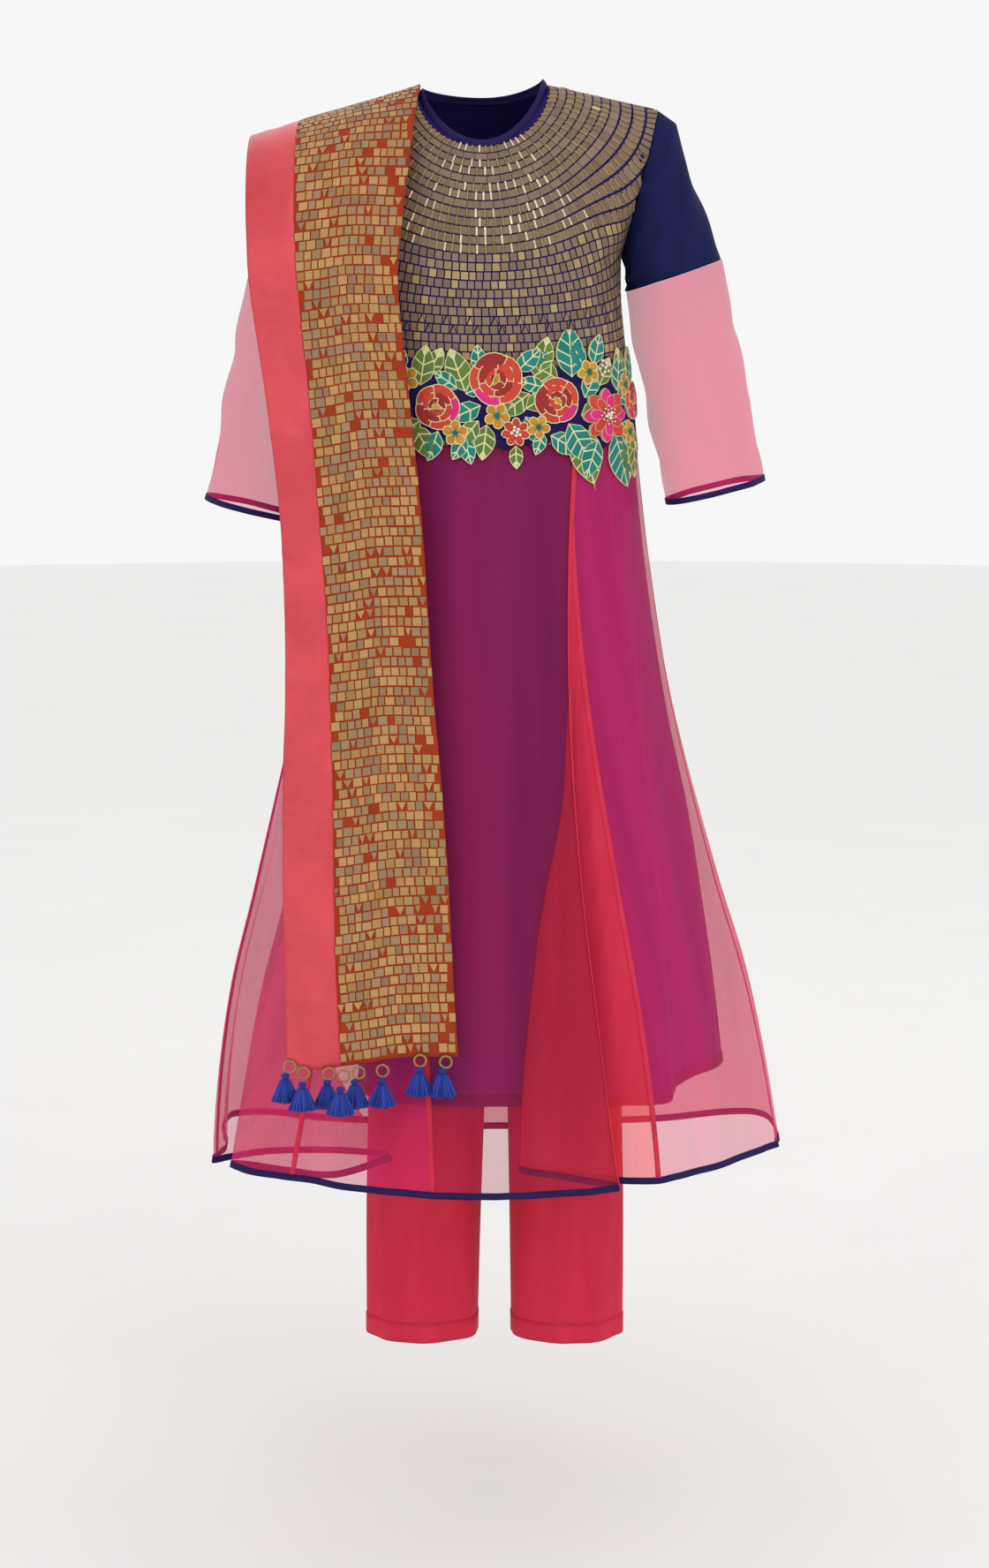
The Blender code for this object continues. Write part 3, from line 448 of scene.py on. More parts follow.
def finish_piece(piece: bpy.types.Object, nodes: Sequence[str] = ()) -> bpy.types.Object:
    """Set a new piece on the root body, and let it stand for its CAD nodes.

    Args:
        piece: The new object.
        nodes: The CAD nodes that it stands for.

    Returns:
        The piece.
    """
    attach(piece, ROOT)
    if nodes:
        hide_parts(*nodes)
    triangles = sum(len(face.vertices) - 2 for face in piece.data.polygons)
    LOG.info("%s: %d triangles before modifiers", piece.name, triangles)
    return piece


def mesh_object(name: str, bm: bmesh.types.BMesh, finishes: Sequence[Finish],
                smooth: bool = True) -> bpy.types.Object:
    """Turn a bmesh into an object with its finishes in its material slots.

    Args:
        name: The piece's name.
        bm: The bmesh, which is freed.
        finishes: One finish for each material index.
        smooth: Whether the faces are shaded smooth.

    Returns:
        The object, at the origin.
    """
    mesh = bpy.data.meshes.new(name)
    bm.to_mesh(mesh)
    bm.free()
    for finish in finishes:
        mesh.materials.append(finish.material)
    if smooth:
        mesh.shade_smooth()
    piece = bpy.data.objects.new(name, mesh)
    bpy.context.scene.collection.objects.link(piece)
    return piece


def thicken(piece: bpy.types.Object, wall: float, offset: float) -> None:
    """Give a sheet its thickness: offset -1 is inwards, 0 both ways and 1 outwards."""
    solid = piece.modifiers.new("thickness", "SOLIDIFY")
    solid.thickness = wall
    solid.offset = offset


class Cloth:
    """A cloth in its hung shape, with the flat pattern that it was cut to.

    The flat place of a point is its distance along the row from the middle column and its
    distance down the column from the first row, in metres.
    """

    def __init__(self, place: Place, columns: int, rows: int, inside: Vector, closed: bool = False) -> None:
        """Measure the cloth.

        Args:
            place: A point of the cloth for shares across and down.
            columns: Columns of faces.
            rows: Rows of faces.
            inside: A point that the outer face looks away from.
            closed: Whether the last column meets the first.
        """
        self.columns, self.rows, self.inside, self.closed = columns, rows, inside, closed
        self.points = [[place(i / columns, j / rows) for i in range(columns + 1)] for j in range(rows + 1)]
        self.flats = self.measured()
        self._solid: BVHTree | None = None

    def measured(self) -> list[list[Vector]]:
        """Flat places from distances along the rows and down the columns."""
        middle = self.columns // 2
        down = [[0.0] * (self.columns + 1)]
        for above, below in zip(self.points, self.points[1:]):
            down.append([d + (b - a).length for d, a, b in zip(down[-1], above, below)])
        flats = []
        for row, depths in zip(self.points, down):
            steps = [0.0]
            for one, other in zip(row, row[1:]):
                steps.append(steps[-1] + (other - one).length)
            flats.append([Vector((s - steps[middle], d, 0)) for s, d in zip(steps, depths)])
        return flats

    @property
    def width(self) -> float:
        """The widest row of the flat pattern."""
        return max(row[-1].x - row[0].x for row in self.flats)

    @property
    def length(self) -> float:
        """The longest column of the flat pattern."""
        return max(low.y - high.y for low, high in zip(self.flats[-1], self.flats[0]))

    @property
    def area(self) -> float:
        """The area of the hung shape."""
        total = 0.0
        for above, below in zip(self.points, self.points[1:]):
            for i in range(self.columns):
                total += ((above[i + 1] - above[i]).cross(below[i] - above[i])).length / 2
                total += ((below[i + 1] - below[i]).cross(below[i + 1] - above[i + 1])).length / 2
        return total

    def grid(self) -> bmesh.types.BMesh:
        """The cloth's mesh, its faces outwards, with its flat pattern as the UV map flat."""
        bm = bmesh.new()
        bmesh.ops.create_grid(bm, x_segments=self.columns, y_segments=self.rows, size=0.5)
        layer = bm.loops.layers.uv.new("flat")
        for face in bm.faces:
            for loop in face.loops:
                i, j = self.index_of(loop.vert.co)
                loop[layer].uv = self.flats[j][i].xy
        for vert in bm.verts:
            i, j = self.index_of(vert.co)
            vert.co = self.points[j][i]
        if self.closed:
            bmesh.ops.remove_doubles(bm, verts=bm.verts[:], dist=1e-6)
        bm.normal_update()
        facing = sum(f.normal.dot(f.calc_center_median() - self.inside) * f.calc_area() for f in bm.faces)
        if facing < 0:
            bmesh.ops.reverse_faces(bm, faces=bm.faces[:])
        return bm

    def index_of(self, spot: Vector) -> tuple[int, int]:
        """The column and row of a vertex of the unmoved grid."""
        return round((spot.x + 0.5) * self.columns), round((spot.y + 0.5) * self.rows)

    def make(self, name: str, finish: Finish, wall: float = 0.0) -> bpy.types.Object:
        """Make the cloth's object.

        Args:
            name: The piece's name.
            finish: Its finish.
            wall: Thickness inwards, or 0 for a single sheer layer.

        Returns:
            The object.
        """
        piece = mesh_object(name, self.grid(), [finish])
        if wall:
            thicken(piece, wall, -1.0)
        return piece

    def prepare(self) -> None:
        """Make ready to find points of the hung cloth from flat places."""
        bm = self.grid()
        self._solid = BVHTree.FromBMesh(bm)
        bm.free()
        self.triangles, self.corners = [], []
        for j in range(self.rows):
            for i in range(self.columns):
                a, b, c, d = (j, i), (j, i + 1), (j + 1, i + 1), (j + 1, i)
                for triple in ((a, b, c), (a, c, d)):
                    self.corners.append([self.flats[r][k] for r, k in triple])
                    self.triangles.append([self.points[r][k] for r, k in triple])
        flat_points = [point for triple in self.corners for point in triple]
        faces = [(3 * n, 3 * n + 1, 3 * n + 2) for n in range(len(self.corners))]
        self._flat = BVHTree.FromPolygons(flat_points, faces)

    def at(self, x: float, y: float, lift: float = 0.0,
           reach: float = 0.004) -> tuple[Vector, Vector] | None:
        """Find the point of the hung cloth for a flat place.

        Args:
            x: Flat distance across.
            y: Flat distance down.
            lift: How far the point stands proud of the outer face.
            reach: How far outside the pattern a place may be; it is then drawn to the edge.

        Returns:
            The point and the outward direction there, or None when it is off the cloth.
        """
        if self._solid is None:
            self.prepare()
        spot, _, index, _ = self._flat.find_nearest(Vector((x, y, 0)), max(reach, 1e-6))
        if spot is None:
            return None
        point = barycentric_transform(spot, *self.corners[index], *self.triangles[index])
        _, outward, _, _ = self._solid.find_nearest(point)
        return point + outward * lift, outward

    def conform(self, bm: bmesh.types.BMesh) -> None:
        """Lay a flat mesh, its heights as Z, onto the hung cloth; what falls off it is removed."""
        lost = []
        for vert in bm.verts:
            found = self.at(vert.co.x, vert.co.y, vert.co.z)
            if found is None:
                lost.append(vert)
            else:
                vert.co = found[0]
        bmesh.ops.delete(bm, geom=lost, context="VERTS")


# ---- the body of the kameez ----------------------------------------------------------
@dataclass
class Torso:
    """The oval of the kameez round the body, and the armholes, neckline and shoulders."""

    rows: tuple = (
        # height, half_width, front, back, centre
        (-0.165, 0.1445, 0.112, 0.098, -0.0105),
        (-0.210, 0.1435, 0.114, 0.098, -0.0090),
        (-0.253, 0.1460, 0.114, 0.097, -0.0075),
        (-0.314, 0.1520, 0.113, 0.097, -0.0060),
        (-0.360, 0.1555, 0.112, 0.098, -0.0050),
    )
    squareness: float = 0.85
    underarm_z: float = -0.165
    hem_z: float = -0.360
    neck_centre_x: float = -0.0125
    neck_half_width: float = 0.0685
    neck_depth: dict = field(default_factory=lambda: {-1: 0.072, 1: 0.052})
    neck_low_z: dict = field(default_factory=lambda: {-1: -0.052, 1: -0.006})
    neck_point_z: dict = field(default_factory=lambda: {1: 0.0125, -1: 0.003})
    shoulder_tip: dict = field(default_factory=lambda: {1: (0.173, -0.013), -1: (-0.199, -0.030)})
    neck_share: float = 0.42
    neck_scoop: float = 1.5
    armhole_bow: float = 0.055
    half_seam: float = 0.0006

    def oval(self, degrees: float, z: float, outset: float = 0.0) -> Vector:
        """A point of the body oval; 0 degrees is the centre front and 90 the left side."""
        angle = math.radians(degrees)
        cosine = math.cos(angle)
        depth = smooth_table(self.rows, z, 2 if cosine >= 0 else 3) + outset
        forward = math.copysign(abs(cosine) ** self.squareness, cosine)
        half_width = smooth_table(self.rows, z, 1) + outset
        centre = smooth_table(self.rows, z, 4)
        return Vector((centre + half_width * math.sin(angle), -depth * forward, z))

    def top(self, across: float, side: int) -> Vector:
        """The top edge of a panel, from shoulder tip to neckline and back up."""
        hand = 1 if across >= 0 else -1
        point_z = self.neck_point_z[hand]
        reach_x = hand * self.neck_half_width
        if abs(across) >= self.neck_share:
            share = (abs(across) - self.neck_share) / (1 - self.neck_share)
            tip_x, tip_z = self.shoulder_tip[hand]
            neck_point = Vector((self.neck_centre_x + reach_x, 0.0, point_z))
            return neck_point.lerp(Vector((tip_x, 0.0, tip_z)), share)
        turn = math.radians(90) * abs(across) / self.neck_share
        drop = (self.neck_low_z[side] - point_z) * math.cos(turn) ** self.neck_scoop
        return Vector(
            (self.neck_centre_x + reach_x * math.sin(turn), side * self.neck_depth[side] * math.cos(turn),
             point_z + drop)
        )

    def point(self, across: float, rise: float, side: int) -> Vector:
        """A point of the yoke: rise is 1 at the top edge, 0 at the underarm, -1 at the hem.

        Args:
            across: From -1 to 1, 0 at the centre.
            rise: How far up.
            side: -1 for the front and 1 for the back.

        Returns:
            The point.
        """
        degrees = 90 * across if side < 0 else 180 - 90 * across
        if rise <= 0:
            z = self.underarm_z + (self.underarm_z - self.hem_z) * rise
            return self.oval(degrees, z) + Vector((0, side * self.half_seam, 0))
        base = self.oval(degrees, self.underarm_z)
        top = self.top(across, side)
        reach = abs(base.y)
        end = math.acos(min(1.0, abs(top.y) / reach)) if reach > 0.001 else math.radians(90)
        turn = math.asin(rise * math.sin(end))
        edge = ease(abs(across), 0.35, 1.0)
        bow = self.armhole_bow * math.sin(math.pi * rise) ** 0.8 * edge
        return Vector(
            (base.x + (top.x - base.x) * rise, base.y * math.cos(turn) + side * (bow + self.half_seam),
             base.z + (top.z - base.z) * rise)
        )


TORSO = Torso()


@dataclass
class Skirt:
    """The sheer skirt: panels, two godets laid over in folds, seams and bound hem."""

    stations: tuple = (
        # top_deg, hem_x, hem_y, fold_x, fold_y, bow_x, dip
        (-180, 0.000, 0.212, 0.0, 0.0, 0.0, -0.030),
        (-168, -0.060, 0.206, 0.0, 0.0, 0.0, -0.028),
        (-156, -0.128, 0.213, 0.0, 0.0, 0.0, -0.024),
        (-143, -0.196, 0.202, 0.0, 0.0, 0.0, -0.018),
        (-130, -0.255, 0.206, 0.0, 0.0, -0.004, -0.012),
        (-118, -0.296, 0.176, 0.0, 0.0, -0.008, -0.006),
        (-107, -0.306, 0.120, 0.0, 0.0, -0.012, -0.004),
        (-99, -0.302, 0.060, 0.0, 0.0, -0.016, -0.002),
        (-93, -0.297, 0.000, 0.0, 0.0, -0.018, 0.0),
        (-90, -0.304, -0.040, 0.0, 0.0, -0.018, 0.0),
        (-87, -0.306, -0.058, 0.0, 0.0, -0.018, 0.0),
        (-84, -0.303, -0.064, 0.014, 0.016, -0.016, 0.001),
        (-80, -0.296, -0.070, 0.050, 0.036, -0.014, 0.004),
        (-76, -0.291, -0.075, 0.100, 0.030, -0.013, 0.008),
        (-72, -0.287, -0.080, 0.150, 0.013, -0.012, 0.011),
        (-69, -0.283, -0.084, 0.172, 0.004, -0.012, 0.010),
        (-66, -0.279, -0.088, 0.153, -0.010, -0.011, 0.007),
        (-63, -0.275, -0.091, 0.108, -0.036, -0.011, 0.002),
        (-60, -0.270, -0.094, 0.047, -0.011, -0.010, 0.0),
        (-57, -0.266, -0.098, -0.010, 0.024, -0.010, 0.0),
        (-54, -0.262, -0.102, -0.025, 0.024, -0.009, 0.0),
        (-50, -0.257, -0.106, -0.021, 0.016, -0.008, 0.0),
        (-43, -0.242, -0.117, -0.008, 0.005, -0.006, 0.0),
        (-36, -0.217, -0.132, 0.0, 0.0, 0.0, 0.0),
        (-36, -0.168, -0.163, 0.0, 0.0, 0.0, 0.0),
        (-36, -0.115, -0.190, 0.0, 0.0, 0.0, 0.0),
        (-36, -0.066, -0.205, 0.0, 0.0, 0.0, 0.0),
        (-17, -0.035, -0.209, 0.0, 0.0, 0.0, 0.0),
        (0, 0.000, -0.208, 0.0, 0.0, 0.0, 0.0),
        (14, 0.044, -0.205, 0.0, 0.0, -0.006, 0.0),
        (26, 0.088, -0.194, 0.0, 0.0, -0.012, 0.0),
        (33, 0.118, -0.181, 0.0, 0.0, -0.018, 0.0),
        (36, 0.131, -0.173, 0.0, 0.0, -0.020, 0.0),
        (36, 0.134, -0.171, -0.013, 0.011, -0.019, 0.0),
        (36, 0.139, -0.168, -0.062, 0.038, -0.016, 0.0),
        (36, 0.144, -0.165, -0.104, 0.056, -0.013, 0.0),
        (36, 0.149, -0.162, -0.120, 0.062, -0.010, 0.0),
        (36, 0.154, -0.159, -0.113, 0.063, -0.008, 0.0),
        (36, 0.160, -0.155, -0.075, 0.034, -0.004, 0.0),
        (36, 0.167, -0.150, -0.033, 0.006, 0.000, 0.0),
        (36, 0.174, -0.144, 0.0, 0.0, 0.006, 0.0),
        (50, 0.206, -0.117, 0.0, 0.0, 0.004, 0.0),
        (63, 0.245, -0.076, 0.0, 0.0, 0.0, 0.0),
        (75, 0.282, -0.025, 0.0, 0.0, 0.0, 0.0),
        (84, 0.306, 0.004, 0.0, 0.0, 0.0, 0.0),
        (90, 0.314, 0.026, 0.0, 0.0, 0.0, 0.0),
        (98, 0.317, 0.070, 0.0, 0.0, 0.0, -0.002),
        (108, 0.316, 0.128, 0.0, 0.0, 0.0, -0.004),
        (119, 0.306, 0.180, 0.0, 0.0, 0.0, -0.006),
        (131, 0.264, 0.207, 0.0, 0.0, 0.0, -0.012),
        (144, 0.200, 0.202, 0.0, 0.0, 0.0, -0.018),
        (157, 0.130, 0.213, 0.0, 0.0, 0.0, -0.024),
        (169, 0.062, 0.206, 0.0, 0.0, 0.0, -0.028),
        (180, 0.000, 0.212, 0.0, 0.0, 0.0, -0.030),
    )
    flare: tuple = (
        (0.0, 0.0), (0.17, 0.10), (0.37, 0.265), (0.62, 0.575), (0.75, 0.765), (0.875, 0.90), (1.02, 1.02),
    )
    left_fold: tuple = (
        (0.0, 0.0), (0.30, 0.0), (0.36, 0.07), (0.49, 0.20), (0.63, 0.48), (0.70, 0.61), (0.86, 0.85),
        (1.02, 1.02),
    )
    right_fold: tuple = (
        (0.0, 0.0), (0.45, 0.0), (0.60, 0.15), (0.75, 0.36), (0.87, 0.58), (0.92, 0.72), (1.02, 1.04),
    )
    hem_z: float = -1.139
    apex: float = 0.10
    godet_right: tuple[int, int] = (23, 26)
    godet_left: tuple[int, int] = (32, 40)
    godet_blend: float = 2.0
    side_right: int = 9
    side_left: int = 45
    front_middle: int = 28
    ripple_size: float = 0.0062
    steps: int = 5
    rows: int = 44
    binding: float = 0.0068
    seam_width: float = 0.0058
    middle: Vector = field(default_factory=lambda: Vector((0, 0, -0.8)))

    @property
    def last(self) -> int:
        """The last station, which is the first again."""
        return len(self.stations) - 1

    @property
    def top_z(self) -> float:
        """The height of the yoke seam."""
        return TORSO.hem_z - SEAM_GAP

    def point(self, place: float, drop: float) -> Vector:
        """A point of the skirt.

        Args:
            place: Along the stations, from the centre back round to it again.
            drop: 0 at the yoke seam and 1 at the hem.

        Returns:
            The point.
        """
        degrees, hem_x, hem_y, fold_x, fold_y, bow_x, dip = along_stations(self.stations, place)
        flare = smooth_table(self.flare, drop)
        fold = smooth_table(self.left_fold if place > self.front_middle else self.right_fold, drop)
        top = TORSO.oval(degrees, TORSO.hem_z)
        opened = max(0.0, (drop - self.apex) / (1 - self.apex))
        anchor = None
        for first, final in (self.godet_right, self.godet_left):
            if first <= place <= final:
                anchor = self.stations[first if place > self.front_middle else final]
        beyond = place - self.godet_left[1]
        if 0 < beyond < self.godet_blend:
            closed = (1 - opened) * (1 - beyond / self.godet_blend)
            bow_x += (self.stations[self.godet_left[0]][5] - self.stations[self.godet_left[1]][5]) * closed
        if anchor:
            bow_x = anchor[5] + (bow_x - anchor[5]) * opened
            x = top.x + (anchor[1] - top.x) * flare + (hem_x - anchor[1]) * opened
            y = top.y + (anchor[2] - top.y) * flare + (hem_y - anchor[2]) * opened
        else:
            x = top.x + (hem_x - top.x) * flare
            y = top.y + (hem_y - top.y) * flare
        bow = bow_x * math.sin(math.pi * min(drop, 1.0)) ** 0.8
        z = self.top_z + (self.hem_z - self.top_z) * drop + dip * drop ** 2
        spot = Vector((x + bow + fold_x * fold, y + fold_y * fold, z))
        wave = ripple(place * 0.85, drop * 1.1, 4.0) + 0.6 * ripple(place * 1.9, drop * 1.4, 9.0)
        outward = Vector((hem_x, hem_y * 1.3, 0)).normalized()
        return spot + outward * wave * self.ripple_size * ease(drop, 0.02, 0.8)

    def cloth(self, first: float, final: float, high: float = 0.0) -> Cloth:
        """The cloth between two stations, from a drop to the hem."""
        return Cloth(
            lambda u, v: self.point(first + (final - first) * u, high + (1 - high) * v),
            max(4, round((final - first) * self.steps)), self.rows, self.middle,
        )

    def panel(self, name: str, node: str, first: float, final: float, high: float = 0.0,
              seams: Sequence[bpy.types.Object] = (), finish: Finish = Finish.ORGANZA) -> None:
        """Make one sheer panel and measure its cut."""
        cloth = self.cloth(first, final, high)
        piece = finish_piece(cloth.make(name, finish), [node])
        declare(cloth)

    def strip(self, name: str, place: float, high: float, lift: float = 0.0007) -> bpy.types.Object:
        """Make the close, turned-in seam allowance that shows as a solid line down a seam."""
        def spot(u: float, v: float) -> Vector:
            """A point across and down the strip."""
            drop = high + (1 - high) * v
            middle = self.point(place, drop)
            across = (self.point(place + 0.15, drop) - self.point(place - 0.15, drop)).normalized()
            outward = across.cross(Vector((0, 0, -1))).normalized()
            return middle + across * (u - 0.5) * self.seam_width - outward * lift

        strip = Cloth(spot, 2, self.rows, self.middle)
        return finish_piece(strip.make(name, Finish.SEAM, 0.0006))

    def build(self) -> None:
        """Make the panels, their seams and the hem's binding."""
        seams = {
            name: self.strip("seam_" + name, place, high)
            for name, place, high in (
                ("side_left", self.side_left, 0.0), ("side_right", self.side_right, 0.0),
                ("front_left", self.godet_left[0], 0.0), ("godet_left", self.godet_left[1], self.apex),
                ("godet_right", self.godet_right[0], self.apex), ("front_right", self.godet_right[1], 0.0),
            )
        }
        self.panel("organza_side_right", "skirt_side_right", self.side_right, self.godet_right[0],
                   seams=[seams["side_right"], seams["godet_right"]])
        self.panel("organza_godet_right", "godet_right", *self.godet_right, self.apex)
        self.panel("organza_front", "skirt_front_centre", self.godet_right[1], self.godet_left[0],
                   seams=[seams["front_left"], seams["front_right"]], finish=Finish.FRONT_ORGANZA)
        self.panel("organza_godet_left", "godet_left", *self.godet_left, self.apex,
                   finish=Finish.GODET_ORGANZA)
        self.panel("organza_side_left", "skirt_side_left", self.godet_left[1], self.side_left,
                   seams=[seams["side_left"], seams["godet_left"]])

        depth = self.binding / (self.top_z - self.hem_z)
        lower = Cloth(
            lambda u, v: self.point((self.last * u) % self.last, 1 - 0.1 * depth + 1.05 * depth * v),
            self.last * self.steps, 2, self.middle, closed=True,
        )
        binding = lower.make("skirt_binding", Finish.BINDING)
        thicken(binding, BINDING_WALL, 0.0)
        finish_piece(binding, ["hem_binding"])

        wrapped = self.last - self.side_left + self.side_right
        back = Cloth(
            lambda u, v: self.point((self.side_left + wrapped * u) % self.last, v),
            wrapped * 4, 30, self.middle,
        )
        sheer = Finish.BACK_ORGANZA
        piece = finish_piece(back.make("organza_back", sheer), ["skirt_back"])
        declare(back)


def declare(cloth: Cloth) -> None:
    """Measure the sheet that a cloth was cut from; the size is worked out but not kept.

    Args:
        cloth: Its measures.
    """
    width, length = cloth.width, cloth.length
    area = min(cloth.area, width * length)
    if area < LEAST_SHARE * width * length:
        length = area / width


@dataclass
class Lining:
    """The silk lining, which shows through the skirt, with its deeper hem turned up."""

    stations: tuple = (
        # top_deg, hem_x, hem_y, dip
        (-180, 0.020, 0.128, -0.024),
        (-150, -0.062, 0.122, -0.020),
        (-120, -0.128, 0.084, -0.010),
        (-90, -0.150, 0.010, 0.0),
        (-65, -0.141, -0.048, 0.0),
        (-45, -0.108, -0.079, -0.002),
        (-20, -0.050, -0.087, -0.004),
        (0, 0.010, -0.088, -0.004),
        (20, 0.070, -0.087, -0.004),
        (40, 0.130, -0.088, -0.003),
        (56, 0.180, -0.089, -0.001),
        (62, 0.193, -0.080, 0.004),
        (67, 0.197, -0.056, 0.010),
        (75, 0.216, -0.034, 0.016),
        (83, 0.240, -0.012, 0.020),
        (90, 0.251, 0.014, 0.020),
        (100, 0.250, 0.050, 0.016),
        (122, 0.212, 0.098, 0.002),
        (150, 0.120, 0.122, -0.018),
        (180, 0.020, 0.128, -0.024),
    )
    flare: tuple = (
        (0.0, 0.0), (0.20, 0.148), (0.42, 0.375), (0.58, 0.60), (0.775, 0.81), (0.887, 0.915), (1.0, 1.0),
    )
    hem_z: float = -1.071
    inset: float = 0.0025
    side_right: int = 3
    side_left: int = 15
    hem_depth: float = 0.012
    hem_lift: float = 0.0008
    hem_wall: float = 0.0005
    wall: float = 0.0006

    def point(self, place: float, drop: float, outset: float = 0.0) -> Vector:
        """A point of the lining: place along its stations, drop 1 at its hem."""
        last = len(self.stations) - 1
        degrees, hem_x, hem_y, dip = along_stations(self.stations, place % last)
        flare = smooth_table(self.flare, drop)
        top = TORSO.oval(degrees, TORSO.hem_z, outset - self.inset)
        top_z = TORSO.hem_z - SEAM_GAP
        z = top_z + (self.hem_z - top_z) * drop + dip * drop ** 2
        wave = 0.003 * ripple(place * 1.6, drop * 1.2, 21.0) * ease(drop, 0.1, 0.9)
        outward = Vector((hem_x, hem_y, 0)).normalized()
        return Vector((top.x + (hem_x - top.x) * flare, top.y + (hem_y - top.y) * flare, z)) + outward * (
            wave + outset * flare
        )

    def build(self) -> None:
        """Make the front and back of the lining and their hem bands."""
        last = len(self.stations) - 1
        spans = (
            ("front", self.side_right, self.side_left - self.side_right, "mosaic_front"),
            ("back", self.side_left, last - self.side_left + self.side_right, "mosaic_back"),
        )
        inside = Vector((0.03, 0, -0.7))
        turned = 1 - self.hem_depth / (TORSO.hem_z - self.hem_z)
        for side, first, span, above in spans:
            cloth = Cloth(lambda u, v: self.point(first + span * u, v), span * 5, 30, inside)
            band = Cloth(
                lambda u, v: self.point(first + span * u, turned + (1 - turned) * v, self.hem_lift),
                span * 5, 3, inside,
            )
            folded = Finish.LINING_HEM
            hem = finish_piece(band.make("lining_hem_" + side, folded, self.hem_wall))
            piece = cloth.make("silk_" + side, Finish.LINING, self.wall)
            finish_piece(piece, ["lining_" + side])
            declare(cloth)
            declare(band)


@dataclass
class Trousers:
    """Two straight legs with soft creases, and a waistband."""

    rows: tuple = (
        # height, inner, outer, half_depth: distances from the middle plane
        (-1.351, 0.0170, 0.1440, 0.0560),
        (-1.200, 0.0135, 0.1450, 0.0600),
        (-1.050, 0.0090, 0.1430, 0.0640),
        (-0.900, 0.0040, 0.1440, 0.0740),
        (-0.790, 0.0003, 0.1480, 0.0820),
        (-0.740, 0.0003, 0.1490, 0.0850),
        (-0.670, 0.0003, 0.1470, 0.0860),
        (-0.561, 0.0003, 0.1380, 0.0850),
    )
    crotch_z: float = -0.790
    wall: float = 0.0010
    crease: float = 0.0055
    waistband: float = 0.035
    hem_line: float = 0.022
    hem_wall: float = 0.0008

    def point(self, turn: float, z: float, hand: int) -> Vector:
        """A point of a leg: turn wraps from the inner edge at the front to the back."""
        inner, outer, depth = (smooth_table(self.rows, z, column) for column in (1, 2, 3))
        round_leg = math.radians(360) * turn
        half = (outer - inner) / 2
        middle = (inner + outer) / 2
        leg = Vector((hand * (middle - half * math.cos(round_leg)), -depth * math.sin(round_leg), z))
        crease = self.crease * ease(-z, 0.95, 1.1)
        wave = ripple(math.sin(round_leg) * 1.9 + hand, math.cos(round_leg) * 1.9 + z * 1.5, 30.0 + hand)
        outward = Vector((leg.x - hand * middle, leg.y, 0)).normalized()
        leg += outward * crease * (wave - 0.4)
        if z <= self.crotch_z:
            return leg
        angle = math.radians(180) * turn
        top = Vector((hand * (inner + (outer - inner) * math.sin(angle)), -depth * math.cos(angle), z))
        return leg.lerp(top, ease(z, self.crotch_z, self.crotch_z + 0.03))

    def build(self) -> None:
        """Make the legs and the waistband."""
        low, high = self.rows[0][0], self.rows[-1][0]
        for hand, side in ((1, "left"), (-1, "right")):
            inside = Vector((hand * 0.078, 0, -1.0))
            leg = Cloth(lambda u, v: self.point(u, high + (low - high) * v, hand), 56, 60, inside)
            piece = leg.make("cotton_leg_" + side, Finish.CRIMSON, self.wall)
            finish_piece(piece, ["trouser_leg_" + side])
            declare(leg)
            hem = Cloth(
                lambda u, v: self.point(u, low + self.hem_line * (1 - v), hand), 56, 3, inside,
            )
            turned = hem.make("leg_hem_" + side, Finish.CRIMSON)
            thicken(turned, self.hem_wall, 1.0)
            finish_piece(turned)
            declare(hem)
        outer, depth = self.rows[-1][2], self.rows[-1][3]
        band = Cloth(
            lambda u, v: Vector((outer * math.sin(math.tau * u), -depth * math.cos(math.tau * u),
                                 high + self.waistband * (1 - v))),
            72, 4, Vector((0, 0, high)), closed=True,
        )
        piece = band.make("trouser_band", Finish.CRIMSON, BINDING_WALL)
        finish_piece(piece, ["trouser_waistband"])
        declare(band)


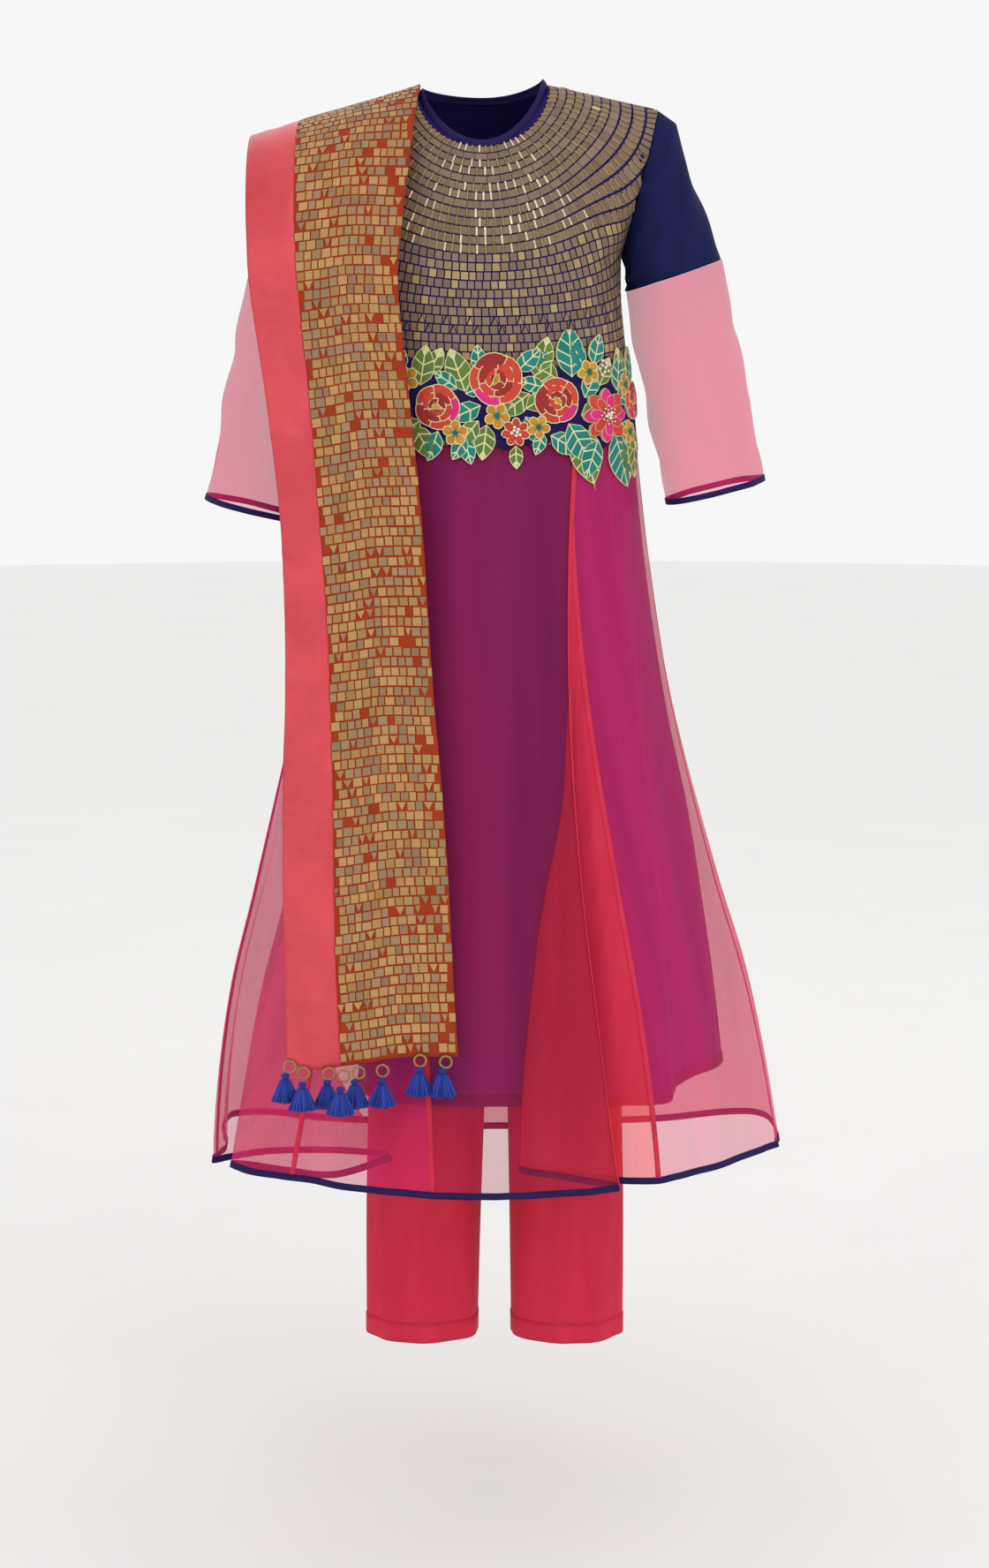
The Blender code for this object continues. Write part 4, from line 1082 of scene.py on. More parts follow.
# ---- patchwork -----------------------------------------------------------------------
@dataclass
class Patchwork:
    """Small padded patches and beads, cut flat and laid onto a hung cloth.

    The first finishes, as many as padded says, are those of patches. A patch needs two corners
    within edge_reach of the cloth; one that crosses the edge is trimmed to it.
    """

    ground: Cloth
    finishes: tuple[Finish, ...]
    lift: float = 0.0007
    bevel: float = 0.0006
    height: float = 0.0005
    seed: int = 5
    edge_reach: float = 0.0005
    longest: float = 0.026
    least_area: float = 4e-6
    padded: int = 2

    def __post_init__(self) -> None:
        """Start an empty mesh with a tint for each patch."""
        self.chance = random.Random(self.seed)
        self.bm = bmesh.new()
        self.tint = self.bm.faces.layers.float.new("tint")

    def patch(self, corners: Sequence[tuple[float, float]], finish: Finish, reach: float = 0.002) -> None:
        """Lay one patch.

        Args:
            corners: Flat corners in order.
            finish: One of the patchwork's finishes.
            reach: How far outside the cloth a corner may be before the patch is left out.
        """
        inside = [self.ground.at(x, y, self.lift, self.edge_reach) for x, y in corners]
        found = [self.ground.at(x, y, self.lift, reach) for x, y in corners]
        if None in found or inside.count(None) > len(corners) - 2:
            return
        points = [point for point, _ in found]
        sides = [(other - one).length for one, other in zip(points, points[1:] + points[:1])]
        if min(sides) < 2 * self.bevel or max(sides) > self.longest:
            return
        around = (points[1] - points[0]).cross(points[2] - points[0])
        if around.length < self.least_area:
            return
        if around.dot(found[0][1]) < 0:
            points.reverse()
        face = self.bm.faces.new([self.bm.verts.new(point) for point in points])
        face.material_index = self.finishes.index(finish)
        face[self.tint] = self.chance.uniform(0.05, 0.85)

    def pad(self) -> None:
        """Turn the patches' edges down so that each stands proud of the ground."""
        flat = [face for face in self.bm.faces if face.material_index < self.padded]
        bmesh.ops.inset_individual(
            self.bm, faces=flat, thickness=self.bevel, depth=self.height, use_even_offset=True
        )

    def bead(self, x: float, y: float, aim_x: float, aim_y: float, length: float, radius: float,
             finish: Finish) -> None:
        """Sew a bugle bead down, aimed along a flat direction."""
        lift = self.lift + self.height + radius * 0.5
        first = self.ground.at(x - aim_x * length / 2, y - aim_y * length / 2, lift, 0.0002)
        last = self.ground.at(x + aim_x * length / 2, y + aim_y * length / 2, lift, 0.0002)
        if first is None or last is None:
            return
        along = last[0] - first[0]
        if along.length < length * 0.5:
            return
        turn = along.to_track_quat("Z", "Y").to_matrix().to_4x4()
        made = bmesh.ops.create_cone(
            self.bm, cap_ends=True, segments=6, radius1=radius, radius2=radius, depth=along.length,
            matrix=Matrix.Translation((first[0] + last[0]) / 2) @ turn,
        )
        shade = self.chance.uniform(0.2, 1.0)
        for face in {face for vert in made["verts"] for face in vert.link_faces}:
            face.material_index = self.finishes.index(finish)
            face[self.tint] = shade

    def make(self, name: str) -> bpy.types.Object:
        """Make the patchwork's object."""
        return mesh_object(name, self.bm, self.finishes, smooth=False)


class RowKind(Enum):
    """The kinds of row in the yoke's mosaic, from the neck down."""

    BEADS = "beads"
    PLAIN = "plain"
    BEADED = "beaded"
    MOSAIC = "mosaic"
    CUT = "cut"


class YokeCloth(Cloth):
    """A yoke panel, laid flat round the middle of its neckline."""

    def measured(self) -> list[list[Vector]]:
        """Flat places: across from the middle, and down from the neckline's lowest point."""
        middle, under = self.columns // 2, self.rows // 2
        down = [[0.0] * (self.columns + 1)]
        for above, below in zip(self.points, self.points[1:]):
            down.append([d + (b - a).length for d, a, b in zip(down[-1], above, below)])
        neck = down[under][middle]
        flats = []
        for j, (row, depths) in enumerate(zip(self.points, down)):
            turned = 1 - ease((under - j) / under, 0.0, 0.6)
            steps = [0.0]
            for one, other in zip(row, row[1:]):
                step = other - one
                steps.append(steps[-1] + math.hypot(step.x, step.y * turned))
            flats.append([
                Vector((s - steps[middle], d - down[under][i] + neck, 0))
                for i, (s, d) in enumerate(zip(steps, depths))
            ])
        return flats


@dataclass
class Yoke:
    """The yoke: navy ground, rings of silk patches round the neck, and the neck binding."""

    columns: int = 96
    rows: int = 64
    wall: float = 0.0008
    pitch: float = 0.0092
    gap: float = 0.0015
    tile: float = 0.0086
    neck_radius: float = 0.0700
    widening: float = 2.4
    row_count: int = 46
    band: float = 0.009
    bead_pitch: float = 0.0068
    plain_tile: float = 0.0125
    row_end: float = math.radians(118)
    beaded_to: float = math.radians(88)
    shiny_to: float = 0.6
    shiny_share: float = 0.4
    stray_share: float = 0.02
    gold_share: float = 0.22

    def cloth(self, side: int) -> YokeCloth:
        """The front (-1) or back (1) of the yoke."""
        def spot(u: float, v: float) -> Vector:
            """A point across and down, in even steps along the curve of the shoulder."""
            share = 1 - 2 * v
            rise = math.sin(math.pi / 2 * share) if share > 0 else share
            return TORSO.point(2 * u - 1, rise, side)

        return YokeCloth(spot, self.columns, self.rows, Vector((0, 0, -0.2)))

    def kind(self, row: int) -> RowKind:
        """Which kind of row this one is."""
        if row == 0:
            return RowKind.BEADS
        if row in (1, 4, 7):
            return RowKind.PLAIN
        if row < 13:
            return RowKind.BEADED
        return RowKind.CUT if row in (20, 21) else RowKind.MOSAIC

    def spot(self, row: float, turn: float) -> tuple[float, float]:
        """A flat place on one of the curved rows, turn 0 at the centre."""
        high = self.neck_radius + row * self.pitch
        wide = high * (1 + self.widening * ease(high, 0.13, 0.46))
        return wide * math.sin(turn), high * math.cos(turn) - self.neck_radius

    def square(self, low: float, high: float, turn: float) -> tuple[Spot, Spot]:
        """Two flat places square across a row, on its near and far edges."""
        near, far = Vector(self.spot(low, turn)), Vector(self.spot(high, turn))
        along = (Vector(self.spot(low, turn + 0.01)) - near).normalized()
        far -= along * (far - near).dot(along)
        return tuple(near), tuple(far)

    def lay_row(self, work: Patchwork, row: int) -> None:
        """Lay the patches and beads of one row."""
        kind = self.kind(row)
        wide = {RowKind.BEADS: self.bead_pitch, RowKind.PLAIN: self.plain_tile}.get(kind, self.tile)
        edge = self.gap / 2 / self.pitch
        middle_x, _ = self.spot(row + 0.5, math.pi / 2)
        turn = -self.row_end
        turn += wide / middle_x * work.chance.random()
        index = work.chance.randrange(5)
        while turn < self.row_end:
            x0, y0 = self.spot(row + 0.5, turn)
            x1, y1 = self.spot(row + 0.5, turn + 0.01)
            speed = math.hypot(x1 - x0, y1 - y0) / 0.01
            size = wide * work.chance.uniform(0.9, 1.12)
            step = size / speed
            inset = (0.0002 if kind is RowKind.PLAIN else self.gap / 2) / speed
            left, right = turn + inset, turn + step - inset
            near_left, far_left = self.square(row + edge, row + 1 - edge, left)
            near_right, far_right = self.square(row + edge, row + 1 - edge, right)
            corners = [near_left, near_right, far_right, far_left]
            index += 1
            gold = kind in (RowKind.MOSAIC, RowKind.CUT) and work.chance.random() < self.gold_share
            finish = Finish.GOLD_TILE if gold else Finish.TILE
            if kind is RowKind.CUT and index % 3 == 0:
                a, b, c, d = corners
                top = ((a[0] + b[0]) / 2, (a[1] + b[1]) / 2)
                slit = 0.0007
                work.patch([(top[0] + slit, top[1]), (c[0] - slit, c[1]), (d[0] + slit, d[1])], finish)
                work.patch([a, (top[0] - 2 * slit, top[1]), (d[0] - slit / 2, d[1] - slit)], finish)
                work.patch([(top[0] + 2 * slit, top[1]), b, (c[0] + slit / 2, c[1] - slit)], finish)
            else:
                work.patch(corners, finish, 0.012)
            if kind in (RowKind.BEADS, RowKind.BEADED) and abs(turn) < self.beaded_to:
                (near_x, near_y), (far_x, far_y) = self.square(row, row + 1, turn)
                x, y = (near_x + far_x) / 2, (near_y + far_y) / 2
                aim = Vector((far_x - near_x, far_y - near_y)).normalized()
                likely = self.shiny_share if abs(turn) < self.shiny_to else self.stray_share
                shiny = work.chance.random() < likely
                finish = Finish.BUGLE if shiny else Finish.GOLD_TILE
                work.bead(x, y, aim.x, aim.y, self.pitch * 0.95, 0.0012 if shiny else 0.0006, finish)
            turn += step

    def build(self) -> None:
        """Make both panels with their patchwork, and the binding."""
        for side, name in ((-1, "front"), (1, "back")):
            cloth = self.cloth(side)
            work = Patchwork(cloth, (Finish.TILE, Finish.GOLD_TILE, Finish.BUGLE), seed=20 + side)
            for row in range(self.row_count):
                self.lay_row(work, row)
            work.pad()
            tiles = finish_piece(work.make("yoke_patches_" + name))
            piece = cloth.make("mosaic_" + name, Finish.YOKE_GROUND, self.wall)
            finish_piece(piece, ["yoke_" + name])
            if side < 0:
                self.neck_binding()
            declare(cloth)

    def neck_binding(self) -> bpy.types.Object:
        """Make the binding that stands up round the neckline."""
        centre_x = TORSO.neck_centre_x

        def spot(u: float, v: float) -> Vector:
            """A point round and up the binding, with a rolled top edge."""
            turn = math.tau * u
            side = -1 if math.cos(turn) > 0 else 1
            across = math.degrees(math.asin(max(-1.0, min(1.0, math.sin(turn))))) / 90 * TORSO.neck_share
            point = TORSO.top(across, side)
            inward = (Vector((centre_x, 0, point.z)) - point).normalized()
            slope = (inward * 0.55 + Vector((0, 0, 0.84))).normalized()
            crown = math.sin(math.pi * v) * 0.0009
            return point + slope * self.band * v - inward * crown

        ring = Cloth(spot, 120, 6, Vector((centre_x, 0, 0)), closed=True)
        piece = ring.make("neck_band", Finish.BINDING, 0.0014)
        return finish_piece(piece, ["neck_binding"])


@dataclass
class Sleeve:
    """One sleeve: navy cap to above the elbow, sheer below it, bound at its end."""

    hand: int
    mirror_x: float = -0.0105
    drop: dict = field(default_factory=lambda: {1: 0.0, -1: -0.020})
    upper: tuple = (
        # row, outer_x, outer_z, inner_x, inner_z, half_depth
        (0, 0.1925, -0.0265, 0.1390, -0.178, 0.0620),
        (1, 0.2065, -0.0730, 0.1400, -0.187, 0.0625),
        (2, 0.2250, -0.1200, 0.1402, -0.195, 0.0615),
        (3, 0.2425, -0.1685, 0.1404, -0.203, 0.0600),
    )
    lower: tuple = (
        # row, outer_x, outer_z, inner_x, inner_z, half_depth
        (0, 0.2426, -0.1690, 0.1405, -0.2035, 0.0600),
        (1, 0.2545, -0.2200, 0.1480, -0.2530, 0.0590),
        (2, 0.2650, -0.2690, 0.1590, -0.3010, 0.0575),
        (3.5, 0.2800, -0.3440, 0.1710, -0.3730, 0.0560),
        (4.6, 0.2897, -0.3990, 0.1822, -0.4250, 0.0545),
    )
    cap_share: float = 0.22
    cuff: float = 0.006

    def ring(self, table: tuple, row: float, turn: float, crease: float) -> Vector:
        """A point on a section of the sleeve: turn 0 at the underarm, then front, top, back."""
        columns = [smooth_table(table, row, column) for column in range(1, 6)]
        outer_x, outer_z, inner_x, inner_z, depth = columns
        drop = self.drop[self.hand]
        if self.hand < 0:
            outer_x, inner_x = 2 * self.mirror_x - outer_x, 2 * self.mirror_x - inner_x
        outer, inner = Vector((outer_x, 0, outer_z + drop)), Vector((inner_x, 0, inner_z + drop))
        middle, arm = (outer + inner) / 2, (outer - inner) / 2
        spoke = arm * -math.cos(turn) + Vector((0, -depth * math.sin(turn), 0))
        wave = ripple(
            math.cos(turn) * 1.5 + row * 0.9, math.sin(turn) * 1.5 + self.hand * 3 - row * 0.4, 50.0
        )
        return middle + spoke + spoke.normalized() * (wave - 0.25) * crease

    def cap(self, u: float, v: float) -> Vector:
        """A point of the opaque part, from the armhole down."""
        turn = math.tau * u
        rise = (1 - math.cos(turn)) / 2
        side = -1 if turn <= math.pi else 1
        if v < self.cap_share:
            share = v / self.cap_share
            edge = TORSO.point(self.hand, rise, side)
            return edge.lerp(self.ring(self.upper, 0, turn, 0.0), 0.03 + 0.97 * share)
        row = (v - self.cap_share) / (1 - self.cap_share) * 3
        return self.ring(self.upper, row, turn, 0.006 * ease(row, 0.0, 1.2))

    def build(self) -> None:
        """Make the cap, the sheer part and its binding."""
        side = "left" if self.hand > 0 else "right"
        x = 0.175 if self.hand > 0 else 2 * self.mirror_x - 0.175
        drop = self.drop[self.hand]
        cap = Cloth(self.cap, 64, 40, Vector((x, 0, -0.12 + drop)), closed=True)
        piece = finish_piece(
            cap.make("sleeve_cap_" + side, Finish.NAVY, 0.0010), ["sleeve_upper_" + side]
        )
        declare(cap)

        x = 0.215 if self.hand > 0 else 2 * self.mirror_x - 0.215
        inside = Vector((x, 0, -0.30 + drop))
        sheer = Cloth(
            lambda u, v: self.ring(self.lower, 4.6 * v, math.tau * u, 0.006 * ease(v, 0.0, 0.3)), 64, 40,
            inside, closed=True,
        )
        def cuff_spot(u: float, v: float) -> Vector:
            """A point of the cuff's binding, carried on from the sleeve's end."""
            end = self.ring(self.lower, 4.6, math.tau * u, 0.006)
            above = self.ring(self.lower, 4.4, math.tau * u, 0.006)
            return end + (end - above).normalized() * self.cuff * (v * 1.05 - 0.05)

        ring = Cloth(cuff_spot, 64, 2, inside, closed=True)
        cuff = ring.make("sleeve_binding_" + side, Finish.BINDING)
        thicken(cuff, BINDING_WALL, 0.0)
        finish_piece(cuff, ["cuff_binding_" + side])
        piece = finish_piece(
            sheer.make("sheer_sleeve_" + side, Finish.SLEEVE_ORGANZA),
            ["sleeve_lower_" + side],
        )
        declare(sheer)


# ---- dupatta -------------------------------------------------------------------------
@dataclass
class Dupatta:
    """The dupatta, folded lengthwise over the right shoulder, with a satin border."""

    rows: tuple = (
        # height, outer_x, border_x, inner_x, front_y, back_y
        (-1.000, -0.2174, -0.1605, -0.0379, -0.2070, 0.2110),
        (-0.905, -0.2200, -0.1660, -0.0435, -0.1920, 0.1960),
        (-0.814, -0.2215, -0.1680, -0.0480, -0.1770, 0.1780),
        (-0.703, -0.2215, -0.1695, -0.0560, -0.1620, 0.1580),
        (-0.630, -0.2190, -0.1715, -0.0628, -0.1530, 0.1460),
        (-0.538, -0.2190, -0.1750, -0.0691, -0.1440, 0.1330),
        (-0.437, -0.2235, -0.1825, -0.0758, -0.1340, 0.1220),
        (-0.309, -0.2378, -0.1925, -0.0885, -0.1280, 0.1160),
        (-0.191, -0.2543, -0.2040, -0.1000, -0.1250, 0.1120),
        (-0.128, -0.2570, -0.2072, -0.0955, -0.1220, 0.1080),
    )
    crest_x: tuple[float, float, float] = (-0.2580, -0.2068, -0.0787)
    crest_z: tuple[float, float] = (-0.0390, 0.0145)
    hem_wave: tuple = (
        # share across the cloth from its outer edge, lift of the lower edge
        (0.0, 0.0035), (0.16, -0.0035), (0.30, -0.006), (0.45, -0.004), (0.60, 0.001), (0.76, 0.007),
        (1.0, 0.008),
    )
    run: float = 0.43
    wall: float = 0.0010
    pitch: float = 0.0102
    tile: float = 0.0092
    gap: float = 0.0011
    lengthwise: int = 260
    cut_share: float = 0.07
    brass_share: float = 0.66
    creases: tuple[float, ...] = (
        -0.190, -0.215, -0.345, -0.470, -0.492, -0.600, -0.715, -0.738, -0.860, -0.930,
    )
    crease_half_width: float = 0.010
    crease_depth: float = 0.0040

    def point(self, across: float, v: float, depth: float = 0.0) -> Vector:
        """A point of the dupatta.

        Args:
            across: 0 at the outer edge, 1 at the border's seam and 2 at the inner edge.
            v: 0 at the front end, 0.5 at the crest of the shoulder and 1 at the back end.
            depth: How far beneath the top layer.

        Returns:
            The point.
        """
        side = -1 if v <= 0.5 else 1
        share = min(v, 1 - v)
        low, high = self.rows[0][0], self.rows[-1][0]
        height = low + (high - low) * min(1.0, share / self.run)
        turn = math.radians(90) * max(0.0, (share - self.run) / (0.5 - self.run))
        columns = [smooth_table(self.rows, height, column) for column in range(1, 6)]
        outer, border, inner, front, back = columns
        x = self.between(across, outer, border, inner)
        crest_x = self.between(across, *self.crest_x)
        lean = (crest_x - self.crest_x[0]) / (self.crest_x[2] - self.crest_x[0])
        crest_z = self.crest_z[0] + (self.crest_z[1] - self.crest_z[0]) * lean
        reach = front if side < 0 else back
        lift = smooth_table(self.hem_wave, across / 2) * (1 - ease(height, low, low + 0.06))
        z = height + lift + (crest_z - height) * math.sin(turn)
        outward = Vector((0, side * math.cos(turn), math.sin(turn)))
        soft = 1 - 0.5 * min(across, 1.0)
        fold = 0.0032 * soft * ripple(across * 1.6, height * 9, 60.0 + side)
        fold += 0.0012 * soft * ripple(across * 3.0 + height * 6, height * 26, 71.0 + side)
        for crease in self.creases:
            near = (height + 0.012 * across - crease) / self.crease_half_width
            dip = self.crease_depth * math.exp(-near * near) * math.cos(near * 2.4)
            fold += dip * (1 - 0.8 * min(across, 1.0))
        spot = Vector((x + (crest_x - x) * math.sin(turn), reach * math.cos(turn), z))
        return spot + outward * (fold - depth)

    @staticmethod
    def between(across: float, outer: float, border: float, inner: float) -> float:
        """An x between the outer edge (0), the border's seam (1) and the inner edge (2)."""
        if across <= 1:
            return outer + (border - outer) * across
        return border + (inner - border) * (across - 1)

    def cloth(self, first: float, last: float, columns: int, depth: float = 0.0, low: float = 0.0) -> Cloth:
        """A lengthwise strip of the dupatta between two places across."""
        return Cloth(
            lambda u, v: self.point(first + (last - first) * u, low + (1 - 2 * low) * v, depth),
            columns, self.lengthwise, Vector((-0.15, 0, -0.5)),
        )

    def lay_patches(self, cloth: Cloth) -> bpy.types.Object:
        """Lay the brocade patches, row by row, with some cut into triangles."""
        work = Patchwork(cloth, (Finish.BRASS_TILE, Finish.GREY_TILE), seed=77, bevel=0.0006, height=0.0004)
        length = cloth.length
        half = cloth.width / 2 + 0.004
        edge = self.gap / 2
        y = 0.004
        row = 0
        while y < length - 0.004:
            row += 1
            slope = 0.004 * math.sin(row * 0.13)
            x = -half + self.tile * work.chance.random()
            while x < half:
                share = (x + half) / (2 * half)
                width = self.tile * work.chance.uniform(0.72, 1.15)
                sparse = work.chance.random() < 0.015 + 0.16 * share ** 3
                if not sparse:
                    a = (x + edge, y + edge + slope * share)
                    b = (x + width - edge, y + edge + slope * share)
                    far = y + self.pitch - edge * work.chance.uniform(1, 3) + slope * share
                    c = (x + width - edge, far)
                    d = (x + edge, far)
                    brass = work.chance.random() < self.brass_share
                    finish = Finish.BRASS_TILE if brass else Finish.GREY_TILE
                    if work.chance.random() < self.cut_share:
                        top = ((a[0] + b[0]) / 2, a[1])
                        work.patch([top, c, d], finish)
                    else:
                        work.patch([a, b, c, d], finish)
                x += width + self.tile * 0.16 * work.chance.random() * (0.15 + share * share)
            y += self.pitch
        work.pad()
        return finish_piece(work.make("dupatta_patches"))

    def build(self) -> None:
        """Make the border, the brocade and the layers beneath, with tassels at both ends."""
        border = self.cloth(0.0, 1.0, 14)
        satin = border.make("satin_border", Finish.SATIN, self.wall)
        finish_piece(satin, ["dupatta_border"])
        top = self.cloth(1.0, 2.0, 26)
        patches = self.lay_patches(top)
        brocade = top.make("brocade_top", Finish.RUST, self.wall)
        finish_piece(brocade, ["dupatta_mosaic"])
        declare(border)
        declare(top)
        for number, (first, last, depth, finish) in enumerate((
            (0.03, 1.995, 0.0019, Finish.SATIN), (0.10, 1.975, 0.0034, Finish.RUST),
            (0.22, 1.985, 0.0049, Finish.SATIN),
        ), start=1):
            under = self.cloth(first, last, 20, depth, 0.0006 * number)
            piece = under.make(f"dupatta_fold_{number}", finish, 0.0008)
            nodes = ["dupatta_underlayers"] if number == 1 else []
            finish_piece(piece, nodes)
            declare(under)
        Tassels().build(self)


@dataclass
class Tassels:
    """Rings and thread tassels along both ends of the dupatta."""

    places: tuple = (
        # ring_x, ring_below_edge, body_x, body_shift_y
        (-0.2140, 0.0050, -0.2190, 0.0),
        (-0.2000, 0.0080, -0.2005, -0.011),
        (-0.1732, 0.0040, -0.1750, 0.0),
        (-0.1576, 0.0060, -0.1605, -0.021),
        (-0.1420, 0.0040, -0.1460, 0.0),
        (-0.1170, 0.0060, -0.1177, -0.006),
        (-0.0777, 0.0030, -0.0787, 0.0),
        (-0.0509, 0.0050, -0.0545, 0.0),
    )
    ring_radius: float = 0.0062
    wire: float = 0.0011
    height: float = 0.033
    strands: int = 64
    neck_drop: float = 0.0076
    head: tuple = (
        # drop, radius, depth
        (0.0026, 0.0046, 0.0056),
        (0.0060, 0.0034, 0.0030),
        (0.0075, 0.0040, 0.0016),
    )

    def ring(self, bm: bmesh.types.BMesh, centre: Vector) -> None:
        """Spin one ring that faces the front."""
        made = bmesh.ops.create_circle(bm, cap_ends=False, segments=8, radius=self.wire)
        for vert in made["verts"]:
            vert.co = centre + Vector((vert.co.x + self.ring_radius, vert.co.y, 0))
        edges = list({edge for vert in made["verts"] for edge in vert.link_edges})
        bmesh.ops.spin(
            bm, geom=made["verts"] + edges, cent=centre, axis=(0, 1, 0), angle=math.tau, steps=24,
            use_merge=True,
        )

    def tassel(self, bm: bmesh.types.BMesh, tint: object, top: Vector, chance: random.Random) -> None:
        """Make a wound head and neck, and strands that spread below it."""
        for drop, radius, depth in self.head:
            bmesh.ops.create_uvsphere(
                bm, u_segments=12, v_segments=6, radius=1.0,
                matrix=Matrix.Translation(top - Vector((0, 0, drop)))
                @ Matrix.Diagonal((radius, radius, depth * 0.6, 1)),
            )
        neck = top - Vector((0, 0, self.neck_drop))
        for index in range(self.strands):
            angle = index * GOLDEN_ANGLE
            spread = math.sqrt((index + 0.5) / self.strands)
            reach = self.height - self.neck_drop - chance.uniform(0, 0.0022)
            aim_x, aim_y = spread * math.cos(angle), spread * math.sin(angle)
            foot = neck + Vector((0.0150 * aim_x, 0.0095 * aim_y, -reach * (1 - 0.14 * spread)))
            start = neck + Vector((0.0048 * aim_x, 0.0036 * aim_y, 0.001))
            along = foot - start
            turn = along.to_track_quat("-Z", "Y").to_matrix().to_4x4()
            made = bmesh.ops.create_cone(
                bm, cap_ends=True, segments=5, radius1=0.0015, radius2=0.0010, depth=along.length,
                matrix=Matrix.Translation((start + foot) / 2) @ turn,
            )
            shade = chance.uniform(0.0, 0.9)
            for face in {face for vert in made["verts"] for face in vert.link_faces}:
                face[tint] = shade

    def build(self, dupatta: Dupatta) -> None:
        """Make the rings and tassels of both ends."""
        low = dupatta.rows[0]
        width = low[3] - low[1]
        chance = random.Random(9)
        for end, side, depth in (("front", -1, low[4]), ("back", 1, low[5])):
            rings, threads = bmesh.new(), bmesh.new()
            tint = threads.faces.layers.float.new("tint")
            for ring_x, below, body_x, shift in self.places:
                wave = smooth_table(dupatta.hem_wave, (ring_x - low[1]) / width)
                y = depth + side * (self.wire + 0.0012)
                centre = Vector((ring_x, y, low[0] + wave - below))
                self.ring(rings, centre)
                top = Vector((body_x, y - side * shift, centre.z - self.ring_radius - self.wire))
                self.tassel(threads, tint, top, chance)
            bmesh.ops.remove_doubles(rings, verts=rings.verts[:], dist=1e-6)
            bmesh.ops.recalc_face_normals(rings, faces=rings.faces[:])
            count = len(self.places) + 1
            finish_piece(mesh_object("rings_" + end, rings, [Finish.RING]),
                         [f"ring_{end}_{n}" for n in range(1, count)])
            finish_piece(mesh_object("tassels_" + end, threads, [Finish.TASSEL]),
                         [f"tassel_{end}_{n}" for n in range(1, count)])


# ---- flower band ---------------------------------------------------------------------
class Bloom(Enum):
    """The kinds of embroidered motif on the flower band."""

    ROSE = "rose"
    MARIGOLD = "marigold"
    BEADED = "beaded"
    RIBBON = "ribbon"


